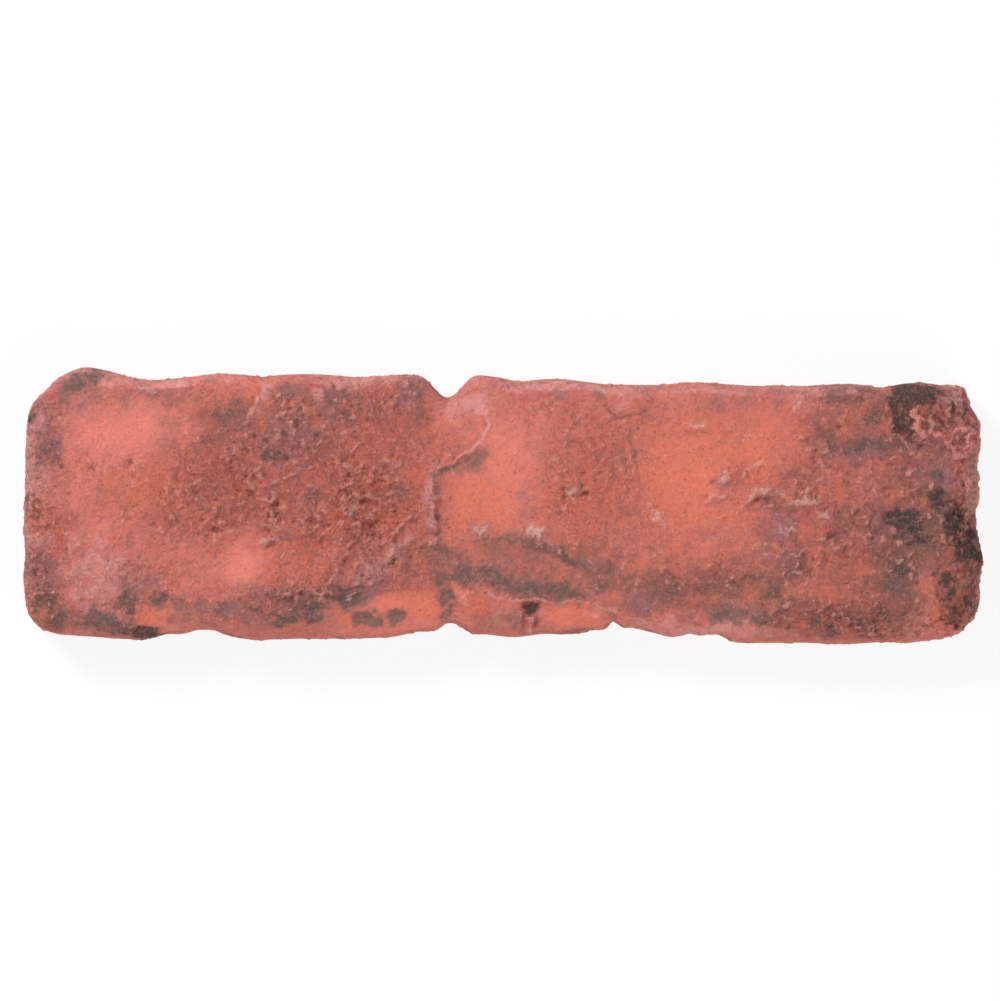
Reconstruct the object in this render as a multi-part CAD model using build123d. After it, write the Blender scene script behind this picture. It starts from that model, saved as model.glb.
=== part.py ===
"""Concrete brick veneer tile: a thin brick slip cast in one piece from a worn, hand-moulded original.

The tile lies on its flat bed, which is glued to a wall in use, with the textured face up.
X runs along the length, Y up the height of the face, and Z out of the wall.
The origin is the middle of the bed. All sizes are in millimetres.
"""

import os
from dataclasses import dataclass
from math import cos, exp, hypot, radians, sin, tan

from build123d import *

# Overall sizes
tile_length = 240.0
tile_height = 65.0
face_level = 16.0  # from the bed to the general level of the face

# How the walls leave the mould
draft_angle = 3.5  # degrees, the walls lean in towards the face

# Rolled, worn arris where the face meets the walls
arris_depth = 3.4  # how far the face has fallen where it meets the walls
arris_round = 1.8  # power of the fall: 2 is a parabola, 1 a plain chamfer

# Fineness of the face: spacing of the points that it is drawn through
column_step = 2.6  # along the length
row_step = 3.4  # across the height
rim_steps = [0.0, 0.9, 1.9, 3.1, 4.6, 6.6]  # closer rows along the arris, by distance in from the wall
end_reach = 16.0  # how far in from a short end its waves bend the columns
foot_step = 1.2  # along the line where the walls meet the bed


@dataclass(frozen=True)
class Notch:
    """A worn gap in a long edge: its place from the middle, its depth and half its mouth."""

    x: float
    depth: float
    half_mouth: float

    def bite(self, x):
        """How far the notch eats into the edge at x."""
        t = (x - self.x) / self.half_mouth
        return self.depth * (1 - t * t) ** 2 if abs(t) < 1 else 0.0

    def stations(self):
        """The places along the edge where its shape needs a point."""
        return [self.x + self.half_mouth * share for share in (-1.0, -0.66, -0.33, 0.0, 0.33, 0.66, 1.0)]


@dataclass(frozen=True)
class Corner:
    """A worn corner: where it starts on the long edge and on the end, and how blunt it is."""

    long_run: float
    end_run: float
    blunt: float


@dataclass(frozen=True)
class Swell:
    """A soft rise or hollow of the face, oval in plan."""

    x: float
    y: float
    reach: float
    width: float
    rise: float
    turn: float = 0.0
    steep: float = 1.0  # 1 is a soft bell, 3 a flat-topped plateau with a clear bank

    def height(self, x, y):
        """How much it lifts the face at a point."""
        turn = radians(self.turn)
        dx, dy = x - self.x, y - self.y
        along = (dx * cos(turn) + dy * sin(turn)) / self.reach
        across = (dy * cos(turn) - dx * sin(turn)) / self.width
        return self.rise * exp(-((along * along + across * across) ** self.steep))


@dataclass(frozen=True)
class Bank:
    """A torn step across the face. Walking along its points, the ground on the right is lower."""

    points: tuple
    drop: float
    lip: float = 0.0  # how far its edge stands up over both sides
    soft: float = 1.7  # half the width of the slope
    reach: float = 6.0  # how far out the lower ground comes back to the level of the face

    def height(self, x, y):
        """How much it lifts the face at a point, next to the nearest of its straight lengths."""
        off, right, share = min(self.beside(i, x, y) for i in range(len(self.points) - 1))
        end = min(4 * share, 4 - 4 * share, 1.0)
        slope = min(max((right / self.soft + 1) / 2, 0.0), 1.0)
        lower = slope * slope * (3 - 2 * slope) * exp(-((off / self.reach) ** 2))
        return end * (self.lip * exp(-((off / self.soft) ** 2)) - self.drop * lower)

    def beside(self, i, x, y):
        """Distance of a point from length i, its distance to the right, and the share reached."""
        (x0, y0), (x1, y1) = self.points[i], self.points[i + 1]
        run_x, run_y = x1 - x0, y1 - y0
        size = hypot(run_x, run_y)
        t = min(max(((x - x0) * run_x + (y - y0) * run_y) / size**2, 0.0), 1.0)
        off = hypot(x - x0 - t * run_x, y - y0 - t * run_y)
        turned = (x - x0) * run_y - (y - y0) * run_x
        return off, off if turned > 0 else -off, (i + t) / (len(self.points) - 1)


# Lines of the four edges: share of the edge from its left or lower end, and how far it stands out
top_wander = [
    (0.000, 2.0), (0.035, 3.0), (0.065, 3.2), (0.090, 2.3), (0.128, 0.0), (0.170, 0.4), (0.200, 1.3),
    (0.230, 1.2), (0.255, 0.5), (0.275, 1.1), (0.310, 1.2), (0.350, 0.5), (0.405, 1.0), (0.424, 0.3),
    (0.462, 0.3), (0.480, 0.8), (0.500, 0.2), (0.515, -0.6), (0.550, 0.0), (0.580, -0.5), (0.605, -1.3),
    (0.655, -1.5), (0.705, -0.9), (0.755, -1.6), (0.810, -1.7), (0.865, -1.1), (0.892, -2.1),
    (0.915, -1.0), (0.940, -0.9), (0.965, -1.6), (1.000, -1.6),
]
bottom_wander = [
    (0.000, -0.6), (0.050, -0.8), (0.107, 0.1), (0.137, 0.0), (0.152, -1.1), (0.168, -1.1), (0.194, -2.4),
    (0.232, 0.0), (0.300, -0.1), (0.350, -0.1), (0.390, -0.6), (0.412, -1.8), (0.450, -1.7), (0.478, -1.3),
    (0.514, -0.5), (0.540, -1.2), (0.576, -1.3), (0.602, -2.7), (0.633, -2.9), (0.654, -1.7), (0.677, -0.5),
    (0.692, -1.5), (0.706, -0.8), (0.719, -1.3), (0.736, 0.3), (0.760, 1.0), (0.810, 1.0), (0.854, 1.4),
    (0.894, 0.9), (0.920, 1.1), (0.942, 0.5), (1.000, -0.4),
]
left_wander = [
    (0.00, -0.8), (0.15, -1.0), (0.20, -0.8), (0.24, -0.4), (0.32, -0.9), (0.43, -0.6), (0.61, -1.0),
    (0.78, -1.1), (0.87, -1.7), (1.00, -1.6),
]
right_wander = [
    (0.00, -0.8), (0.16, -0.5), (0.23, -0.7), (0.28, -0.2), (0.31, 0.2), (0.345, -0.5), (0.37, -0.8),
    (0.42, -1.5), (0.50, -1.7), (0.56, -1.0), (0.65, -1.3), (0.80, -0.5), (0.84, -0.8), (0.88, -2.6),
    (0.92, -3.7), (1.00, -3.7),
]

top_notches = [Notch(x=-13.5, depth=4.7, half_mouth=6.4)]
bottom_notches = [
    Notch(x=-12.6, depth=2.3, half_mouth=5.2),
    Notch(x=27.8, depth=1.5, half_mouth=1.9),
]

top_left = Corner(long_run=14.2, end_run=10.5, blunt=2.8)
top_right = Corner(long_run=2.2, end_run=2.0, blunt=0.3)
bottom_left = Corner(long_run=9.5, end_run=8.4, blunt=1.0)
bottom_right = Corner(long_run=12.0, end_run=10.0, blunt=0.3)

# Width of the worn arris along each edge: share of the edge, and how far the wear reaches in
top_wear = [(0.00, 6.0), (0.10, 3.0), (0.30, 2.6), (0.45, 3.4), (0.60, 2.6), (0.80, 3.0), (1.00, 4.0)]
bottom_wear = [
    (0.00, 4.5), (0.09, 3.5), (0.15, 6.5), (0.20, 5.0), (0.30, 4.0), (0.36, 8.0), (0.42, 10.0), (0.47, 7.5),
    (0.52, 8.5), (0.58, 8.0), (0.64, 5.0), (0.75, 5.5), (0.85, 3.5), (1.00, 4.0),
]
left_wear = [(0.00, 4.5), (0.30, 4.0), (0.60, 4.5), (0.80, 8.0), (1.00, 8.0)]
right_wear = [(0.00, 4.5), (0.30, 5.5), (0.60, 3.5), (1.00, 4.5)]

# Broad forms of the face
swells = [
    # Slight crown of the whole face
    Swell(x=-4.0, y=2.0, reach=128.0, width=34.0, rise=0.7, steep=1.6),
    # Rough, fuller stretch left of the middle, that ends in a bank
    Swell(x=-47.0, y=2.0, reach=32.0, width=24.0, rise=0.7, turn=8.0, steep=2.5),
    # Thumbed hollow under the notch in the upper edge
    Swell(x=-11.0, y=20.0, reach=8.5, width=10.5, rise=-1.3, turn=-18.0, steep=2.5),
    # Scoop in the upper edge, right of the notch
    Swell(x=12.5, y=28.0, reach=11.0, width=3.2, rise=-1.2, steep=1.6),
    # Arched hollow above the lower edge, where the brick has spalled
    Swell(x=5.5, y=-17.5, reach=18.0, width=7.5, rise=-1.0, turn=-6.0, steep=2.2),
    # Shelf below it, at the lower edge
    Swell(x=9.0, y=-28.0, reach=10.0, width=3.6, rise=-1.1, steep=2.2),
    # Smooth slope at the lower edge, left of the lower notch
    Swell(x=-28.0, y=-25.0, reach=13.0, width=8.0, rise=-1.1, turn=14.0, steep=1.8),
    # Smooth pan in the right half and the torn lip on its right
    Swell(x=42.0, y=5.0, reach=12.0, width=16.0, rise=-0.6, steep=2.0),
    Swell(x=61.0, y=3.5, reach=9.0, width=3.0, rise=0.8, turn=-22.0, steep=1.2),
    # Smooth pan at the left end
    Swell(x=-96.0, y=15.0, reach=12.0, width=9.0, rise=-0.4, steep=1.6),
    # Dished upper left corner and its thickened rim
    Swell(x=-113.0, y=20.0, reach=6.0, width=9.0, rise=-0.7, turn=20.0, steep=1.4),
    # Fuller stretch towards the right end
    Swell(x=84.0, y=-8.0, reach=22.0, width=20.0, rise=0.4, turn=20.0, steep=1.8),
    # Thickened upper right corner
    Swell(x=108.0, y=24.0, reach=9.0, width=6.0, rise=0.9, turn=15.0, steep=1.5),
    # Humps and dips of the rough, torn stretch left of the middle
    Swell(x=-48.0, y=18.5, reach=9.0, width=6.5, rise=0.5, steep=1.8),
    Swell(x=-70.0, y=25.0, reach=3.6, width=3.4, rise=-0.6),
    Swell(x=-62.0, y=8.5, reach=4.2, width=5.0, rise=-0.5),
    Swell(x=-53.0, y=-1.0, reach=6.5, width=4.4, rise=0.5, turn=20.0),
    Swell(x=-40.0, y=4.5, reach=3.8, width=5.2, rise=-0.7),
    Swell(x=-28.5, y=10.5, reach=5.6, width=3.8, rise=0.6, turn=20.0),
    Swell(x=-26.0, y=1.5, reach=4.2, width=3.4, rise=0.8),
    Swell(x=-31.5, y=-4.0, reach=3.6, width=3.2, rise=-0.6),
    Swell(x=-36.5, y=-1.5, reach=3.4, width=3.0, rise=0.7),
    Swell(x=-32.0, y=23.5, reach=6.0, width=5.4, rise=0.5),
    # Bulge in the upper edge, and lumps of the right half
    Swell(x=31.5, y=27.0, reach=5.6, width=4.2, rise=0.8, steep=1.5),
    Swell(x=55.0, y=7.5, reach=4.0, width=3.2, rise=0.7, turn=35.0),
    Swell(x=97.0, y=-2.5, reach=5.0, width=3.6, rise=-0.6, turn=-30.0),
    Swell(x=101.0, y=-26.5, reach=6.0, width=4.4, rise=0.5),
]

# Banks and ridges where the clay of the original tore
banks = [
    # Left side of the thumbed hollow, its lip, and the bank that parts the two halves below it
    Bank(points=((-20.0, 18.0), (-19.6, 25.0), (-19.4, 32.0)), drop=0.9),
    Bank(points=((-18.2, 9.5), (-11.0, 13.0), (-4.6, 17.5), (-3.6, 25.0)), drop=0.8, lip=0.7),
    Bank(points=((-19.4, -11.0), (-17.0, -4.0), (-16.6, 4.0), (-18.2, 9.5)), drop=0.8, lip=0.5),
    # Ridges that were dragged up towards it
    Bank(points=((-39.0, -22.0), (-32.5, -15.0), (-20.5, -6.0)), drop=0.4, lip=0.6),
    Bank(points=((-45.0, -18.0), (-37.0, -7.0), (-31.0, 2.0)), drop=0.3, lip=0.5),
    # Upper bank of the spalled arch, and the lip of the shelf under it
    Bank(points=((-17.0, -10.0), (-8.0, -8.2), (9.5, -9.8), (16.0, -13.5), (21.0, -19.0)), drop=0.7),
    Bank(points=((-5.0, -19.5), (4.0, -22.6), (22.0, -22.8)), drop=0.8, reach=5.0),
    # Foot of the roll along the upper edge, right of the notch
    Bank(points=((-1.0, 28.8), (10.5, 25.4), (18.0, 25.8), (25.0, 29.0)), drop=0.7, reach=4.5),
    # Torn lip across the right half, and the bank of the worn left end
    Bank(points=((57.5, -2.0), (63.0, 4.0), (71.0, 2.5), (80.0, 0.5)), drop=0.5, lip=0.6),
    Bank(points=((-103.5, 32.0), (-109.0, 22.0), (-112.0, 12.0)), drop=0.8, reach=7.0),
]


def follow(line, share):
    """Value of a hand-drawn line at a share of its length, smooth through each of its points."""
    share = min(max(share, line[0][0]), line[-1][0])
    last = len(line) - 2
    i = next(k for k in range(last + 1) if share <= line[k + 1][0])
    (s0, v0), (s1, v1) = line[i], line[i + 1]
    before, after = line[max(i - 1, 0)], line[min(i + 2, last + 1)]
    run = s1 - s0
    slope_0 = (v1 - before[1]) / (s1 - before[0]) * run
    slope_1 = (after[1] - v0) / (after[0] - s0) * run
    t = (share - s0) / run
    rise = (2 * t**3 - 3 * t**2 + 1) * v0 + (3 * t**2 - 2 * t**3) * v1
    return rise + (t**3 - 2 * t**2 + t) * slope_0 + (t**3 - t**2) * slope_1


def long_share(x):
    """Share of the length at x, from the left end."""
    return x / tile_length + 0.5


def end_share(y):
    """Share of the height at y, from the lower edge."""
    return y / tile_height + 0.5


def top_edge(x):
    """Y of the upper edge at the bed."""
    return tile_height / 2 + follow(top_wander, long_share(x)) - sum(n.bite(x) for n in top_notches)


def bottom_edge(x):
    """Y of the lower edge at the bed."""
    return -tile_height / 2 - follow(bottom_wander, long_share(x)) + sum(n.bite(x) for n in bottom_notches)


def left_end(y):
    """X of the left end at the bed."""
    return -tile_length / 2 - follow(left_wander, end_share(y))


def right_end(y):
    """X of the right end at the bed."""
    return tile_length / 2 + follow(right_wander, end_share(y))


def nearest_corner(x, y):
    """The corner that a point is nearest to."""
    if y > 0:
        return top_left if x < 0 else top_right
    return bottom_left if x < 0 else bottom_right


def rounded(corner, in_from_end, in_from_long):
    """How a point of the square corner moves, along and across, when the corner is worn round.

    Points on the long edge slide to one half of a curve across the corner, points on the end
    to its other half, and points inside move less the farther in they are.
    """

    def on_curve(t):
        along = corner.long_run * (1 - t) ** 2 + corner.blunt * 2 * t * (1 - t)
        across = corner.end_run * t**2 + corner.blunt * 2 * t * (1 - t)
        return along, across

    p = min(in_from_end / corner.long_run, 1.0)
    q = min(in_from_long / corner.end_run, 1.0)
    fade_p, fade_q = (1 - p) ** 2, (1 - q) ** 2
    long_x, long_y = on_curve((1 - p) / 2)
    end_x, end_y = on_curve((1 + q) / 2)
    tip_x, tip_y = on_curve(0.5)
    move_x = (long_x - p * corner.long_run) * fade_q + end_x * fade_p - tip_x * fade_p * fade_q
    move_y = long_y * fade_q + (end_y - q * corner.end_run) * fade_p - tip_y * fade_p * fade_q
    return move_x, move_y


def arris_fall(x, y, from_left, from_right, from_bottom, from_top):
    """How far the wear of the arris lowers the face at a point, by its distances from the walls."""
    from_end, end_wear = (from_left, left_wear) if from_left < from_right else (from_right, right_wear)
    from_long, long_wear = (from_top, top_wear) if from_top < from_bottom else (from_bottom, bottom_wear)
    corner = nearest_corner(x, y)
    p = max(1 - from_end / corner.long_run, 0.0)
    q = max(1 - from_long / corner.end_run, 0.0)
    if p > 0 and q > 0:
        inside = (1 - max(p, q)) * min(corner.long_run, corner.end_run)
    else:
        inside = min(from_end, from_long)
    near_end, near_long = 1 / (from_end + 1.0) ** 2, 1 / (from_long + 1.0) ** 2
    end_width, long_width = follow(end_wear, end_share(y)), follow(long_wear, long_share(x))
    width = (end_width * near_end + long_width * near_long) / (near_end + near_long)
    return arris_depth * max(1 - inside / width, 0.0) ** arris_round


def steps_across(size, step, finer):
    """Distances from 0 to size: close steps at both rims and even ones between."""
    inner = size - 2 * finer[-1]
    count = max(round(inner / step), 2)
    even = [finer[-1] + inner * i / count for i in range(1, count)]
    return [*finer, *even, *(size - f for f in reversed(finer))]


def columns():
    """X of each column of the face's points: even along the length, closer in the notches."""
    even = [x - tile_length / 2 for x in steps_across(tile_length, column_step, rim_steps)]
    notches = top_notches + bottom_notches
    clear = [x for x in even if all(abs(x - n.x) > n.half_mouth + column_step / 2 for n in notches)]
    at_notches = sorted(x for n in notches for x in n.stations())
    spaced = [x for i, x in enumerate(at_notches) if i == 0 or x - at_notches[i - 1] > 0.4]
    return sorted(clear + spaced)


def plan_point(x, y_share, lean):
    """Plan of a point at the share y_share of the height, in walls that stand in by lean.

    Returns its x and y, and its distances from the left, right, lower and upper walls.
    """
    low, high = bottom_edge(x) + lean, top_edge(x) - lean
    y = low + (high - low) * y_share
    left, right = left_end(y) + lean, right_end(y) - lean
    left_fade = max(1 - (x + tile_length / 2) / end_reach, 0.0) ** 2
    right_fade = max(1 - (tile_length / 2 - x) / end_reach, 0.0) ** 2
    across = x + (left + tile_length / 2) * left_fade + (right - tile_length / 2) * right_fade
    from_left, from_right = across - left, right - across
    from_bottom, from_top = y - low, high - y
    corner = nearest_corner(across, y)
    move_x, move_y = rounded(corner, min(from_left, from_right), min(from_bottom, from_top))
    moved_x = across + (move_x if across < 0 else -move_x)
    moved_y = y + (move_y if y < 0 else -move_y)
    return moved_x, moved_y, (from_left, from_right, from_bottom, from_top)


def face_sheet():
    """The worn face as one smooth surface that ends at the top of the walls."""
    lean = (face_level - arris_depth) * tan(radians(draft_angle))
    stations = columns()
    along = [(x - stations[0]) / (stations[-1] - stations[0]) for x in stations]
    sections = []
    for across in steps_across(tile_height, row_step, rim_steps):
        section = []
        for station in stations:
            x, y, distances = plan_point(station, across / tile_height, lean)
            form = sum(f.height(x, y) for f in (*swells, *banks))
            section.append((x, y, face_level + form - arris_fall(x, y, *distances)))
        sections.append(Wire([Edge.make_spline(section, parameters=along)]))
    return Shell.make_loft(sections).face()


def foot_of(rim_edge):
    """The line on the bed under an edge of the face, further out by the draft."""
    count = max(round(rim_edge.length / foot_step), 4)
    shares = [i / count for i in range(count + 1)]
    feet = []
    for share in shares:
        rim = rim_edge.position_at(share, position_mode=PositionMode.PARAMETER)
        reach = hypot(rim.X / tile_length, rim.Y / tile_height)
        lean = rim.Z * tan(radians(draft_angle)) / reach
        feet.append((rim.X + lean * rim.X / tile_length, rim.Y + lean * rim.Y / tile_height, 0.0))
    return Edge.make_spline(feet, parameters=shares)


def veneer_tile():
    """The whole tile, one solid: the face, the walls down from its rim, and the flat bed."""
    face = face_sheet()
    feet = [foot_of(edge) for edge in face.edges()]
    walls = [Face.make_surface_from_curves(rim, foot) for rim, foot in zip(face.edges(), feet)]
    return Solid(Shell([face, *walls, make_face(feet)]))


os.makedirs("parts", exist_ok=True)
export_step(veneer_tile(), "parts/veneer_tile.step")
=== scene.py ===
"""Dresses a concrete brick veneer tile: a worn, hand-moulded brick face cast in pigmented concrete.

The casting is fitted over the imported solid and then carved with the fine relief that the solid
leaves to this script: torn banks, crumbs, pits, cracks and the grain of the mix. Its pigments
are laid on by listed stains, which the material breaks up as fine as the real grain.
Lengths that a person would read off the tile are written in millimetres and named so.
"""

import logging
import math
import random
from dataclasses import dataclass, field
from enum import Enum
from typing import Optional, Sequence

import bmesh
import bpy
import numpy as np
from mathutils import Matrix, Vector, noise
from mathutils.bvhtree import BVHTree

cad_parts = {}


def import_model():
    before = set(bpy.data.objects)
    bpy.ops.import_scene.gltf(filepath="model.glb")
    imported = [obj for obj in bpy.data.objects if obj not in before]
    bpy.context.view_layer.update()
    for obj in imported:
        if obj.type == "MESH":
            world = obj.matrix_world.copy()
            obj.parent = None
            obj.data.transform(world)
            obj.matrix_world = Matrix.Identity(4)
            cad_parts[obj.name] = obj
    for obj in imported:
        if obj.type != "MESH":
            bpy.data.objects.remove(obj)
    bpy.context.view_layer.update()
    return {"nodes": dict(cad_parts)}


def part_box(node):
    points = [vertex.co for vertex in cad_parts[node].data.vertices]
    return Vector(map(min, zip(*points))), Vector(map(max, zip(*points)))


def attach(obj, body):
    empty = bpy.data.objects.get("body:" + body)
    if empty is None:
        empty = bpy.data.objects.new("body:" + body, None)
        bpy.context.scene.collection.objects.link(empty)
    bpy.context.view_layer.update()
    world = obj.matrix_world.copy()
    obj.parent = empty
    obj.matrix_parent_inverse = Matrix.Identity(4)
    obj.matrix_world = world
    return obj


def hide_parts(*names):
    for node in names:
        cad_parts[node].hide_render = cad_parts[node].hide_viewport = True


MM = 0.001
TILE_NODE = "veneer_tile"
CEMENT_IOR = 1.45
CHALKY_SPECULAR = 0.25
STAIN_EDGE = 0.75  # how fast a stain thins out from its middle
STAIN_DETAIL = 3.5  # how many finer grains break up a stain
SPECKLE_ROUGH = 0.68  # how strong each grain of a speckle is against the next coarser one

Socket = bpy.types.NodeSocket

log = logging.getLogger("veneer_tile")


class Pigment(Enum):
    """What colours a patch of the face. The value names the mesh attribute that holds it."""

    ORANGE = "orange_oxide"
    RED = "red_oxide"
    SALMON = "salmon_wash"
    MAUVE = "mauve_dust"
    UMBER = "umber_veil"
    SLATE = "slate_stain"
    SOOT = "soot"
    # Pink powder on the skin, also laid as a painted highlight on lit lips, slopes and the upper arris.
    BLOOM = "pink_bloom_and_highlight"
    TORN = "torn_aggregate"
    SAND = "sand_wash"
    PALE = "lime_crumbs"


class CarvedMask(Enum):
    """What the carving leaves behind on the mesh for the material to read."""

    CAVITY = "cavity"
    CREST = "crest"
    GRAIN = "grain"


def linear(colour: str) -> tuple[float, float, float, float]:
    """Turns an sRGB hex colour into the linear colour that a socket takes.

    Args:
        colour: The colour as "#RRGGBB".

    Returns:
        Red, green, blue and an alpha of one, linear.
    """
    shares = [int(colour[i : i + 2], 16) / 255 for i in (1, 3, 5)]
    red, green, blue = (c / 12.92 if c <= 0.04045 else ((c + 0.055) / 1.055) ** 2.4 for c in shares)
    return red, green, blue, 1.0


def per_mm(size_mm: float) -> float:
    """Texture scale at which a pattern of that size in millimetres repeats once."""
    return 1.0 / (size_mm * MM)


def add_node(
    tree: bpy.types.NodeTree,
    kind: str,
    settings: Optional[dict] = None,
    values: Optional[dict] = None,
    links: Optional[dict] = None,
) -> bpy.types.Node:
    """Adds a node with its settings, its socket values and what it is fed by.

    Args:
        tree: The node tree to add to.
        kind: The node's type name.
        settings: Properties of the node, by name.
        values: Constants for its inputs, by socket name or index.
        links: Output sockets that feed its inputs, by socket name or index.

    Returns:
        The new node.
    """
    node = tree.nodes.new(kind)
    for name, value in (settings or {}).items():
        setattr(node, name, value)
    for socket, value in (values or {}).items():
        node.inputs[socket].default_value = value
    for socket, source in (links or {}).items():
        tree.links.new(source, node.inputs[socket])
    return node


def smooth_step(values: np.ndarray) -> np.ndarray:
    """Eases values from nought to one between nought and one."""
    t = np.clip(values, 0.0, 1.0)
    return t * t * (3.0 - 2.0 * t)


def beside_line(
    points: Sequence[tuple[float, float]], xs: np.ndarray, ys: np.ndarray
) -> tuple[np.ndarray, np.ndarray, np.ndarray]:
    """Finds where each place lies against a line of straight lengths.

    Args:
        points: The line's points.
        xs: The places along the tile.
        ys: The places across it.

    Returns:
        Distance to the right of the line, plain distance to it, and share of its length.
    """
    best = np.full(xs.shape, np.inf)
    side = np.zeros(xs.shape)
    share = np.zeros(xs.shape)
    count = len(points) - 1
    for i in range(count):
        (x0, y0), (x1, y1) = points[i], points[i + 1]
        run_x, run_y = x1 - x0, y1 - y0
        length = math.hypot(run_x, run_y)
        t = np.clip(((xs - x0) * run_x + (ys - y0) * run_y) / length**2, 0.0, 1.0)
        distance = np.hypot(xs - x0 - t * run_x, ys - y0 - t * run_y)
        nearer = distance < best
        best = np.where(nearer, distance, best)
        right = ((xs - x0) * run_y - (ys - y0) * run_x) / length
        side = np.where(nearer, np.sign(right) * distance, side)
        share = np.where(nearer, (i + t) / count, share)
    return side, best, share


def oval_distance(oval: "Lump | Stain", xs: np.ndarray, ys: np.ndarray) -> np.ndarray:
    """Finds how far each place lies from the middle of an oval.

    Args:
        oval: The oval, with its middle, its two half-axes and its turn.
        xs: The places along the tile.
        ys: The places across it.

    Returns:
        The square of the distance, which is one at the oval's rim.
    """
    cos_turn, sin_turn = math.cos(math.radians(oval.turn)), math.sin(math.radians(oval.turn))
    along = ((xs - oval.x) * cos_turn + (ys - oval.y) * sin_turn) / oval.reach
    across = ((ys - oval.y) * cos_turn - (xs - oval.x) * sin_turn) / oval.width
    return along**2 + across**2


@dataclass(frozen=True)
class Lump:
    """A rounded rise of the face, or a pit where rise is below nought. Millimetres and degrees."""

    x: float
    y: float
    reach: float
    width: float
    rise: float
    turn: float = 0.0
    steep: float = 1.0

    def height(self, xs: np.ndarray, ys: np.ndarray) -> np.ndarray:
        """Height that it adds at each place, in millimetres."""
        return self.rise * np.exp(-(oval_distance(self, xs, ys) ** self.steep))


@dataclass(frozen=True)
class Crest:
    """A raised or sunk line of the face, which may also part a higher side from a lower one.

    Walking along the points, a step above nought lowers what lies to the right of the line,
    and one below nought what lies to its left, fading out over the given reach. Millimetres.
    """

    points: Sequence[tuple[float, float]]
    rise: float
    width: float
    step: float = 0.0
    fade: float = 6.0

    def height(self, xs: np.ndarray, ys: np.ndarray) -> np.ndarray:
        """Works out the height that it adds, which tapers off over the outer fifths of the line.

        Args:
            xs: The places along the tile, in millimetres.
            ys: The places across it.

        Returns:
            The height at each place, in millimetres.
        """
        side, distance, share = beside_line(self.points, xs, ys)
        ends = smooth_step(np.minimum(share, 1.0 - share) * 5.0)
        line = self.rise * np.exp(-((distance / self.width) ** 2)) * (0.35 + 0.65 * ends)
        lower_side = side if self.step > 0 else -side
        drop = smooth_step(lower_side / (2.0 * self.width) + 0.5) * np.exp(-((distance / self.fade) ** 2))
        return line - abs(self.step) * drop * ends


@dataclass(frozen=True)
class Stain:
    """An oval patch of one pigment. Millimetres and degrees."""

    pigment: Pigment
    x: float
    y: float
    reach: float
    width: float
    strength: float
    turn: float = 0.0

    def cover(self, xs: np.ndarray, ys: np.ndarray) -> np.ndarray:
        """How much of the pigment lies at each place."""
        return self.strength * np.exp(-STAIN_EDGE * oval_distance(self, xs, ys))


@dataclass(frozen=True)
class Streak:
    """A band of one pigment along a line. Millimetres."""

    pigment: Pigment
    points: Sequence[tuple[float, float]]
    width: float
    strength: float

    def cover(self, xs: np.ndarray, ys: np.ndarray) -> np.ndarray:
        """How much of the pigment lies at each place."""
        distance = beside_line(self.points, xs, ys)[1]
        return self.strength * np.exp(-STAIN_EDGE * (distance / self.width) ** 2)


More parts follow.
